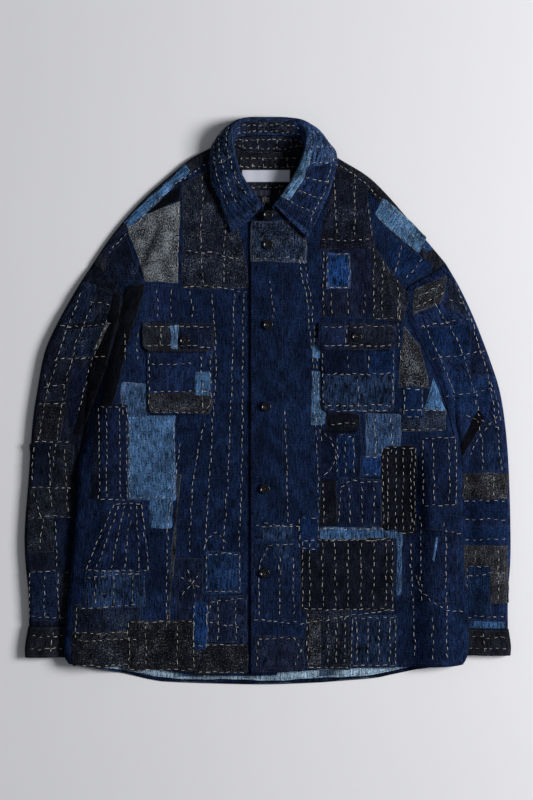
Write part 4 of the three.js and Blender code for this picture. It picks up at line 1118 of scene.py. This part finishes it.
right_rows = on(front_right_place, [
    ([(-50, 164), (-54, 20), (-60, -120), (-66, -224)], 0),
    ([(-84, 164), (-76, 60), (-84, -60), (-94, -222)], 0),
    ([(-116, 168), (-112, 122)], 0), ([(-96, -30), (-112, -120), (-118, -228)], 0),
    ([(-36, 164), (-38, -60), (-42, -220)], 0),
    ([(-128, 171), (-90, 174), (-56, 168), (-28, 164)], 0.6),
    ([(-97, 340), (-100, 260), (-98, 176)], 0.6), ([(-62, 290), (-66, 178)], 0.6),
    ([(-124, 226), (-80, 222), (-40, 212)], 0.6), ([(-70, 350), (-72, 300)], 0.8),
    ([(-134, 290), (-136, 180)], 0.9), ([(-130, -60), (-150, -180), (-152, -340)], 1.0),
    ([(-140, -26), (-140, -140)], 0.9), ([(-120, -250), (-108, -296)], 0.4),
    ([(-134, -262), (-100, -280)], 0.4), ([(-130, -292), (-102, -258)], 0.4),
    ([(-62, -214), (-76, -196), (-92, -206), (-96, -224)], 0),
    ([(-38, -296), (-86, -300), (-92, -330), (-40, -340)], 0.4),
    ([(-272, -262), (-190, -258)], 1.0), ([(-280, -310), (-196, -304)], 0.8),
    *outline(box(-252, -210, -150, -4), 1.0), *field(box(-250, -212, -146, -8), 2, 1.0),
    *outline([(-274, -254), (-176, -257), (-188, -150), (-230, -150)], 0.7),
    *field([(-266, -250), (-182, -252), (-192, -154), (-228, -154)], 4, 0.7),
    *outline(box(-211, -108, -404, -328), 1.0), *field(box(-206, -112, -396, -334), 2, 1.0),
    *outline(box(-292, -204, -396, -344), 0.7, "tb"), *outline(box(-94, -40, -288, -226), 0.7),
    *outline(box(-112, -90, -374, -300), 1.2, "lr"), *outline(box(-109, -30, -408, -364), 0.7, "tb"),
    *field(box(-270, -190, -304, -258), 3, 1.0), *outline(box(-289, -190, -358, -304), 0.4, "lb"),
    *outline(box(-209, -138, -148, -22), 0.9, "lb"), *outline(box(-218, -181, -25, 28), 0.4, "l"),
    *field(box(-176, -134, 124, 170), 2, 0.4), *field(box(-222, -186, 60, 104), 2, 0.2),
    *field(box(-88, -34, -360, -296), 2, 0.4),
])
right_stitches = run_stitches("stitches_right_front", right_rows)
right_seams = topstitch("seams_right_front", on(front_right_place, [
    ([(-24, -405), (-92, -405), (-131, -401), (-190, -393), (-253, -389), (-292, -387)], 0)]))

# ---- the back's pale inside, and the yoke's strips over the shoulders ----------------------------
# Below the fronts the back shows its undyed reverse above a narrow turned hem. The yoke is charcoal,
# with a light blue piece along the right shoulder; its inside shows in the neck, sewn in a grid.
back_place = on_grid(back_chart)
back_hem = sew_patches("back_hem_band", back_place, [
    ([(0.0008, 0.022), (0.0008, 0.978), (0.0105, 0.978), (0.0105, 0.022)], DEEP, 0.5, 0.6, 0.3, 2, 1),
    ([(0.012, 0.30), (0.012, 0.36), (0.03, 0.36), (0.03, 0.30)], dye(50, 66, 86), 0.8, 1.0, 2.0, 2, 0),
    ([(0.012, 0.62), (0.012, 0.66), (0.03, 0.66), (0.03, 0.62)], dye(44, 58, 78), 0.8, 1.0, 2.0, 2, 0)],
    wall=0.7)
back_rows = on(back_place, [([(0.014, 0.03), (0.014, 0.97)], 0)])
back_stitches = run_stitches("stitches_back_hem", back_rows, 3.0, 2.0, 0.7, dye(120, 130, 140), 1.4, 0.1)


def on_shoulder(x, y):
    """The yoke's strip over the shoulder, by its x with sign and y, level with the fronts beside it."""
    half = np.where(np.asarray(x) < 0, *(top_height(h, np.abs(x), y) for h in (RIGHT, LEFT)))
    return np.stack([x, y, half + 0.1], -1)


def in_neck(x, y):
    """The inside of the yoke on the surface, rising by the stand as smooth steps do."""
    return np.stack([x, y, 2.0 + 3.0 * smooth(362, 374, y)], -1)


yoke_patches = sew_patches("patches_yoke", on_shoulder, [
    ([(-216, 268), (-205, 261), (-115, 345), (-124, 357)], dye(54, 86, 122), 0.9, 1.0, 2.5, 3, 1),
    ([(-250, 224), (-240, 216), (-200, 262), (-208, 272)], dye(16, 22, 40), 0.6, 0.8, 1.5, 3, 0),
    ([(76, 366), (118, 346), (128, 352), (80, 378)], dye(18, 22, 34), 0.6, 1.2, 1.5, 3, 0),
    ([(196, 266), (238, 224), (248, 230), (208, 274)], dye(24, 42, 72), 0.7, 0.9, 1.5, 3, 0)])
yoke_rows = on(on_shoulder, [([(-240, 222), (-200, 264), (-150, 318), (-78, 366)], 0.5),
                             ([(78, 370), (140, 334), (186, 286), (238, 228)], 0.5)])
yoke_rows += on(in_neck, [([(x, 294), (x, 328)], 0) for x in (-23, -4, 19)])
yoke_rows += on(in_neck, [([(x, 350), (x, 370)], 0) for x in (-40, -23, -6, 12, 30)])
yoke_rows += on(in_neck, [([(-44, y), (44, y)], 0) for y in (353, 366)] + [([(-34, 322), (34, 322)], 0)])
yoke_stitches = run_stitches("stitches_yoke", yoke_rows, **SMALL_STITCH)
yoke_seams = topstitch("seams_yoke", on(on_shoulder, [
    ((yoke_seam(half) * (half["sign"], 1) + (0, 2.2))[2:-1], 0) for half in (LEFT, RIGHT)]))

# ---- patches and running stitches on the sleeves -------------------------------------------------
# The left sleeve is blue with rows along it and charcoal bands above the cuff; the right one is darker.
# By each armhole a near-black piece is painted shade: a wedge under the left arm and a band along the right
# one.
left_sleeve_patches_and_shade = [
    ([(216, 128), (262, 148), (270, 190), (222, 170)], dye(27, 29, 35), 0.8, 1.6, 2.0, 3, 0),
    ([(268, 140), (300, 128), (290, 162), (272, 188)], dye(20, 27, 42), 0.8, 1.1, 1.5, 4, 0),
    ([(240, 66), (300, 60), (306, 118), (228, 110)], BLUE, 0.6, 0.5, 1.5, 5, 0),
    ([(304, 40), (338, 40), (322, 92), (304, 112)], dye(15, 24, 46), 0.6, 0.5, 1.5, 5, 0),
    ([(272, -16), (330, -30), (336, 34), (262, 50)], dye(16, 32, 62), 0.6, 0.6, 1.2, 8, 1),
    ([(306, -104), (356, -104), (352, -34), (322, -36)], dye(14, 26, 50), 0.6, 0.6, 1.2, 8, 0),
    (box(270, 361, -146, -108), dye(31, 31, 36), 0.8, 1.5, 1.0, 2, 1),
    (box(268, 361, -176, -145), dye(12, 24, 50), 0.5, 0.3, 1.0, 2, 0),
    (box(266, 361, -216, -188), dye(13, 28, 56), 0.5, 0.3, 1.0, 2, 0),
    (box(264, 361, -302, -215), dye(36, 37, 42), 0.7, 1.3, 1.5, 3, 0),
    (box(298, 335, -328, -244), dye(14, 28, 52), 0.7, 0.6, 1.5, 12, 1),
    (box(260, 357, -339, -331), dye(34, 60, 92), 0.8, 1.0, 1.5, 1, 2),
    # painted shadow: a near-black wedge under the arm, where the body shades the sleeve
    ([(285, -76), (294, -82), (326, -24), (316, -12)], dye(6, 8, 14), 0.4, 0.3, 1.0, 4, 2),
]
left_sleeve_rows = [
    ([(280, 180), (306, 120), (330, 40), (345, -40), (351, -104)], 0.5),
    ([(250, 148), (286, 90), (312, 12), (322, -60), (322, -104)], 0.5),
    ([(232, 118), (262, 60), (284, 0)], 0.5), ([(226, 112), (304, 124)], 0.5),
    ([(244, 62), (326, 76)], 0.5), ([(264, 6), (338, 20)], 0.7),
    ([(346, -22), (318, -50), (302, -84)], 0.5), ([(296, -20), (348, -40)], 0.7),
    ([(268, 152), (296, 146)], 0.5), ([(224, 156), (262, 176)], 0.5),
    ([(222, 140), (266, 164)], 0.5), ([(336, 30), (350, -30)], 0.5),
    ([(338, -110), (339, -144)], 0.7),
    *[([(272, y), (358, y + 2)], 0.6) for y in (-150, -178, -208)],
    *outline(box(298, 335, -328, -244), 0.8, "tl"), ([(345, -220), (346, -298)], 0.6),
    ([(312, -220), (312, -244)], 0.6), ([(300, -262), (358, -256)], 0.7),
    ([(266, -324), (356, -322)], 0.6), ([(300, -110), (292, -146)], 0.6),
]
right_sleeve_patches_and_shade = [
    ([(-306, 116), (-262, 120), (-256, 176), (-278, 180)], dye(13, 22, 40), 0.9, 1.0, 1.5, 4, 0),
    ([(-262, 112), (-226, 118), (-226, 160), (-254, 172)], dye(13, 18, 30), 0.8, 1.0, 1.5, 4, 0),
    ([(-318, 62), (-240, 70), (-232, 112), (-308, 108)], dye(15, 24, 42), 0.9, 1.1, 2.0, 3, 1),
    ([(-262, 78), (-252, 80), (-234, 116), (-243, 121)], dye(54, 56, 60), 0.9, 1.7, 2.0, 3, 4),
    ([(-338, 0), (-300, 4), (-296, 60), (-324, 58)], dye(15, 19, 31), 0.6, 0.8, 1.2, 4, 0),
    ([(-298, -40), (-276, -36), (-254, 40), (-294, 58)], dye(10, 16, 34), 0.6, 0.4, 1.2, 4, 0),
    ([(-352, -58), (-310, -60), (-302, -4), (-342, -4)], dye(18, 20, 27), 0.6, 1.1, 1.2, 4, 0),
    # painted shade: three near-black pieces in a band along the armhole, where the body shades the sleeve
    ([(-293, -50), (-277, -50), (-242, 54), (-264, 56)], dye(6, 7, 12), 0.4, 0.25, 1.0, 2, 3),
    ([(-264, 54), (-242, 52), (-222, 126), (-238, 130)], dye(6, 7, 12), 0.4, 0.25, 1.0, 2, 3),
    ([(-238, 126), (-222, 124), (-220, 162), (-230, 164)], dye(7, 9, 15), 0.4, 0.25, 1.0, 2, 3),
    (box(-356, -322, -126, -62), dye(12, 18, 32), 0.6, 0.6, 1.2, 4, 0),
    (box(-322, -290, -170, -64), dye(16, 19, 28), 0.6, 1.0, 1.2, 4, 1),
    (box(-360, -318, -226, -128), dye(22, 26, 36), 0.7, 1.2, 1.5, 4, 0),
    (box(-322, -270, -250, -172), dye(12, 20, 38), 0.6, 0.5, 1.2, 4, 0),
    (box(-358, -312, -330, -252), dye(14, 25, 46), 0.6, 0.6, 1.2, 14, 0),
    (box(-310, -264, -334, -258), dye(21, 24, 33), 0.6, 1.2, 1.2, 4, 0),
]
right_sleeve_rows = [
    ([(-279, 164), (-304, 98), (-330, 14), (-344, -60)], 0.5),
    ([(-262, 150), (-288, 84), (-308, 4), (-322, -100)], 0.5),
    ([(-240, 124), (-264, 60), (-284, -16)], 0.5), ([(-350, -66), (-352, -120)], 0.5),
    ([(-312, 112), (-232, 116)], 0.7), ([(-322, 62), (-242, 68)], 0.7),
    ([(-338, 22), (-300, 26)], 0.5), ([(-352, -60), (-296, -62)], 0.5),
    ([(-346, -4), (-300, -2)], 0.5), ([(-270, 150), (-234, 146)], 0.5),
    ([(-326, -64), (-324, -160)], 0.7), ([(-304, -70), (-300, -168)], 0.9),
    ([(-355, -128), (-292, -130)], 0.7), ([(-352, -136), (-336, -176), (-340, -224)], 0.5),
    ([(-358, -176), (-318, -172), (-292, -174)], 0.7), ([(-318, -178), (-316, -250)], 0.5),
    *outline(box(-358, -312, -330, -252), 0.6, "tlr"), ([(-334, -260), (-334, -324)], 0.6),
    ([(-308, -256), (-280, -254)], 0.6), ([(-356, -322), (-272, -326)], 0.7),
    ([(-336, 44), (-326, 8)], 0.5), ([(-286, -200), (-288, -330)], 0.6),
]
for half, name, patches_and_shade, rows in [(LEFT, "left", left_sleeve_patches_and_shade, left_sleeve_rows),
                                  (RIGHT, "right", right_sleeve_patches_and_shade, right_sleeve_rows)]:
    patched = sew_patches(f"patches_{name}_sleeve", half["on_sleeve"], patches_and_shade)
    stitched = run_stitches(f"stitches_{name}_sleeve", on(half["on_sleeve"], rows))
    cuff_rows = [([(0.05, v), (0.95, v)], 0) for v in (0.3, 0.72)]
    cuff_rows += [([(t, 0.1), (t, 0.9)], 0) for t in (0.36, 0.62)]
    cuff_stitches = run_stitches(f"stitches_{name}_cuff", on(half["on_cuff"], cuff_rows), lift=1.3)
    edge_rows = [([(0.03, v), (0.97, v)], 0) for v in (0.06, 0.93)]
    cuff_seams = topstitch(f"seams_{name}_cuff", on(half["on_cuff"], edge_rows), 1.1)

# ---- patches and stitches on the collar ----------------------------------------------------------
# Blue cloth again: a light, worn piece over the left point and along the roll, rows out to the edge on
# the left point and along it on the right one, and dark topstitching close to the edge.
# Charts are shares: round the neck from the wearer's right front end, then from stand to free edge.
collar_patches = sew_patches("patches_collar", fall_place, [
    ([(0.66, 0.30), (0.66, 0.985), (0.79, 0.985), (0.80, 0.30)], dye(27, 45, 74), 1.2, 1.4, 2.5, 2, 0),
    ([(0.80, 0.30), (0.79, 0.985), (0.985, 0.985), (0.985, 0.40)], dye(15, 28, 54), 1.0, 1.0, 2.0, 2, 0),
    ([(0.75, 0.24), (0.75, 0.50), (0.94, 0.52), (0.94, 0.30)], dye(66, 96, 126), 1.0, 1.5, 7.0, 3, 1),
    ([(0.015, 0.40), (0.02, 0.985), (0.20, 0.985), (0.20, 0.30)], dye(15, 29, 54), 1.0, 1.0, 2.0, 2, 0),
    ([(0.20, 0.30), (0.20, 0.985), (0.35, 0.985), (0.35, 0.30)], dye(21, 36, 58), 1.1, 1.2, 2.5, 2, 0),
    ([(0.40, 0.05), (0.40, 0.30), (0.60, 0.30), (0.60, 0.05)], dye(20, 26, 40), 0.9, 1.3, 1.5, 2, 0)],
    wall=1.0)
collar_rows = [([(a, 0.42), (a, 0.93)], 0.5) for a in (0.70, 0.745, 0.79, 0.84, 0.885, 0.93)]
collar_rows += [([(0.06, b), (0.33, b)], 0.5) for b in (0.48, 0.66, 0.84)]
collar_rows += [([(0.20, 0.4), (0.20, 0.93)], 0.5), ([(0.36, 0.2), (0.64, 0.2)], 0.5),
                ([(0.36, 0.08), (0.64, 0.08)], 0.4), ([(0.66, 0.9), (0.96, 0.9)], 0.5)]
collar_stitches = run_stitches("stitches_collar", on(fall_place, collar_rows), lift=1.15, **SMALL_STITCH)
collar_seams = topstitch("seams_collar", on(fall_place, [
    ([(0.02, 0.96), (0.98, 0.96)], 0), ([(0.012, 0.4), (0.012, 0.95)], 0),
    ([(0.988, 0.4), (0.988, 0.95)], 0)]), 1.1)
stand_rows = [([(0.36, b), (0.64, b)], 0) for b in (0.25, 0.8)]
stand_rows += [([(a, 0.1), (a, 0.9)], 0) for a in (0.42, 0.47, 0.53, 0.58)]
stand_stitches = run_stitches("stitches_stand", on(stand_place, stand_rows), lift=1.15, **SMALL_STITCH)

# ---- patches and stitches on the pockets ---------------------------------------------------------
# The bags and flaps are pieced like the rest: a bleached corner and a charcoal strip on the right one,
# a ribbed strip on the left one, and a row of running stitch round each flap.
pocket_details = {
    "right": ([(box(-109, -86, 6, 46), dye(50, 80, 114), 0.9, 1.2, 5.0, 3, 1),
               (box(-180, -83, -18, 14), dye(27, 29, 36), 0.7, 1.3, 1.5, 14, 0),
               (box(-179, -150, 16, 76), dye(15, 25, 48), 0.6, 0.4, 1.2, 3, 0)],
              [(box(-146, -134, 77, 116), dye(58, 84, 114), 0.9, 1.2, 4.0, 2, 0),
               (box(-132, -82, 78, 116), dye(16, 24, 44), 0.6, 0.8, 1.5, 10, 0)],
              [[(-176, 56), (-112, 57)], [(-174, 14), (-90, 16)], [(-100, 70), (-98, -10)]],
              [[(-182, 84), (-84, 82)], [(-182, 112), (-84, 111)], [(-160, 82), (-160, 112)]]),
    "left": ([(box(81, 149, 40, 76), DEEP, 0.6, 0.4, 1.5, 3, 0),
              (box(150, 190, 40, 76), BLUE, 0.6, 0.4, 1.5, 3, 0),
              (box(82, 189, -15, 40), dye(19, 32, 54), 1.3, 0.9, 2.0, 12, 1)],
             [(box(78, 118, 78, 117), dye(16, 26, 50), 0.6, 0.6, 1.5, 10, 0),
              (box(120, 191, 78, 117), dye(21, 25, 38), 0.6, 0.9, 1.5, 10, 0)],
             [[(86, 41), (186, 42)], [(120, 72), (121, 46)], [(152, 72), (152, 46)], [(88, -6), (184, -6)],
              [(136, 36), (137, -10)]],
             [[(82, 84), (188, 84)], [(82, 112), (188, 112)], [(118, 84), (119, 112)]]),
}
for name, (half, place, flap, bag, corner) in POCKETS.items():
    on_bag, on_flap = pocket_details[name][:2]
    bag_patches = sew_patches(f"patches_{name}_pocket", half["bag_place"], on_bag, wall=1.1)
    flap_patches = sew_patches(f"patches_{name}_flap", half["flap_place"], on_flap, wall=1.1)
    bag_rows = [(chart, 1.2) for chart in pocket_details[name][2]]
    flap_rows = [(chart, 0.4) for chart in pocket_details[name][3]]
    x0, x1, y0, y1 = bag
    rim = [(x0 + 3, y1 - 30), (x0 + 3, y0 + corner), (x0 + corner, y0 + 3.5), (x1 - corner, y0 + 3.5),
           (x1 - 3, y0 + corner), (x1 - 3, y1 - 30)]
    bag_stitches = run_stitches(f"stitches_{name}_pocket", on(half["bag_place"], bag_rows + [(rim, 0.9)]))
    flap_stitches = run_stitches(f"stitches_{name}_flap", on(half["flap_place"], flap_rows), lift=1.3)

# ---- buttons -------------------------------------------------------------------------------------
# Eight black buttons, turned with a round rim and a dished middle with four holes, sewn on with dark
# thread: five down the placket, one on the stand and one on each flap.
BUTTON_PROFILE, BUTTON_TURN = 46, 48


def button_points(centre, turn):
    """A profile turned round the button's axis, out from the middle of the top over the rim and back
    under to the middle; the top sinks steeply inside each of the four holes."""
    profile = through([(0, 2.0), (2.6, 2.0), (4.6, 2.1), (5.6, 2.7), (6.5, 3.0), (7.3, 2.4), (7.5, 1.5),
                       (7.0, 0.5), (5.5, 0.15), (0, 0.1)], BUTTON_PROFILE)
    angle = np.linspace(0, 2 * math.pi, BUTTON_TURN + 1)[:-1]
    radius, height = profile[:, 0, None], profile[:, 1, None] + 0 * angle
    x, y = radius * np.cos(angle), radius * np.sin(angle)
    top = (np.arange(BUTTON_PROFILE) < 24)[:, None]
    for hx, hy in [(1.45, 1.45), (-1.45, 1.45), (-1.45, -1.45), (1.45, -1.45)]:
        height = height - np.where(top, 1.3 * (1 - smooth(0.7, 1.05, np.hypot(x - hx, y - hy))), 0)
    c, s = math.cos(turn), math.sin(turn)
    return np.stack([x * c - y * s, x * s + y * c, height], -1) + np.array(centre)


gloss_black, tree, shader = new_material("button_black")
where = node(tree, "ShaderNodeTexCoord")
cloud = node(tree, "ShaderNodeTexNoise", {"Scale": 260.0, "Detail": 3.0},
             {"Vector": where.outputs["Object"]})
depth = node(tree, "ShaderNodeValToRGB", links={"Fac": cloud.outputs["Fac"]})
depth.color_ramp.elements[0].color = (0.002, 0.0024, 0.004, 1)
depth.color_ramp.elements[1].color = (0.006, 0.007, 0.010, 1)
scuff = node(tree, "ShaderNodeMapRange", {"To Min": 0.08, "To Max": 0.18}, {"Value": cloud.outputs["Fac"]})
tree.links.new(depth.outputs["Color"], shader.inputs["Base Color"])
tree.links.new(scuff.outputs["Result"], shader.inputs["Roughness"])
shader.inputs["Specular IOR Level"].default_value = 0.35
button_nodes = [f"button_{place}" for place in (1, 2, 3, 4, 5, "stand", "pocket_left", "pocket_right")]
button_parts, thread_rows = [], []
for i, name in enumerate(button_nodes):
    low, high = (np.array(corner) * 1000 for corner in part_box(name))
    centre = np.array([(low[0] + high[0]) / 2, (low[1] + high[1]) / 2, low[2]])
    button_parts.append(button_points(centre, 0.3 * i))
    level = lambda x, y, centre=centre: np.stack([x, y, 0 * x + 2.0], -1) + centre
    thread_rows += on(level, [([(dx, -1.9), (dx, 1.9)], 0) for dx in (-1.0, 1.0)])
points = np.stack(button_parts)
quads, row, column = grid_quads(BUTTON_PROFILE, BUTTON_TURN, closed=True, flip=True)
faces = quads[None] + BUTTON_PROFILE * BUTTON_TURN * np.arange(len(points))[:, None, None]
faces = faces.reshape(-1, 4)
uv = np.tile(np.stack([column, row], -1)[None], (len(points), 1, 1, 1)).astype(float)
buttons = build("buttons", points, faces, uv, {}, gloss_black)
shell = bmesh.new()
shell.from_mesh(buttons.data)
bmesh.ops.remove_doubles(shell, verts=shell.verts, dist=1e-6)
shell.to_mesh(buttons.data)
shell.free()
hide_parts(*button_nodes)
run_stitches("button_threads", thread_rows, 3.6, 0.1, 0.7, dye(20, 24, 36), 0.2, 0.1)

# ---- neck label and tabs -------------------------------------------------------------------------
# A blank white woven tape sewn flat inside the yoke, and under it a navy tab and a small grey one.


def tape_material(name, low, high):
    """Fine twill tape: diagonal ribs between two close shades."""
    material, tree, shader = new_material(name)
    where = node(tree, "ShaderNodeUVMap", uv_map="cloth")
    ribs = node(tree, "ShaderNodeTexWave", {"Scale": 320.0, "Distortion": 0.6, "Detail": 2.0},
                {"Vector": where.outputs["UV"]}, bands_direction="DIAGONAL")
    shade = node(tree, "ShaderNodeValToRGB", links={"Fac": ribs.outputs["Fac"]})
    shade.color_ramp.elements[0].color = (*low, 1)
    shade.color_ramp.elements[1].color = (*high, 1)
    bump = node(tree, "ShaderNodeBump", {"Strength": 0.4, "Distance": 0.0002},
                {"Height": ribs.outputs["Fac"]})
    tree.links.new(shade.outputs["Color"], shader.inputs["Base Color"])
    tree.links.new(bump.outputs["Normal"], shader.inputs["Normal"])
    shader.inputs["Roughness"].default_value = 0.6
    return material


def tape_points(x0, x1, y0, y1, rise=0.5):
    """A flat tape that lifts softly between its sewn ends, with its long edges turned down."""
    x, y = np.meshgrid(np.linspace(x0, x1, 40), np.linspace(y0, y1, 14))
    along = (x - x0) / (x1 - x0)
    rim = np.minimum(y - y0, y1 - y)
    z = 2.6 + rise * np.sin(math.pi * along) ** 2 + 0.2 * np.sin(along * 19)
    return np.stack([x, y, z - 0.3 * (1 - smooth(0, 1.5, rim))], -1)


for name, sides, flat, low, high, slot in [
        ("neck_label", (-39, 34, 330, 348), (0.073, 0.018), dye(186, 188, 204), dye(206, 208, 222),
         "label_tape"),
        ("size_tab", (-22, 4, 309, 318), (0.026, 0.0101), dye(9, 14, 36), dye(15, 22, 52), "boro_cloth"),
        ("care_tab", (-8, 3, 299, 307), (0.011, 0.0101), dye(70, 72, 78), dye(96, 98, 104),
         "label_tape")]:
    made = panel(f"{name}_tape", tape_points(*sides), (0.5, 0.5, 0.5), 0, 0, thick=0.6, offset=0.0,
                 material=tape_material(f"{name}_weave", low, high))
    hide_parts(name)
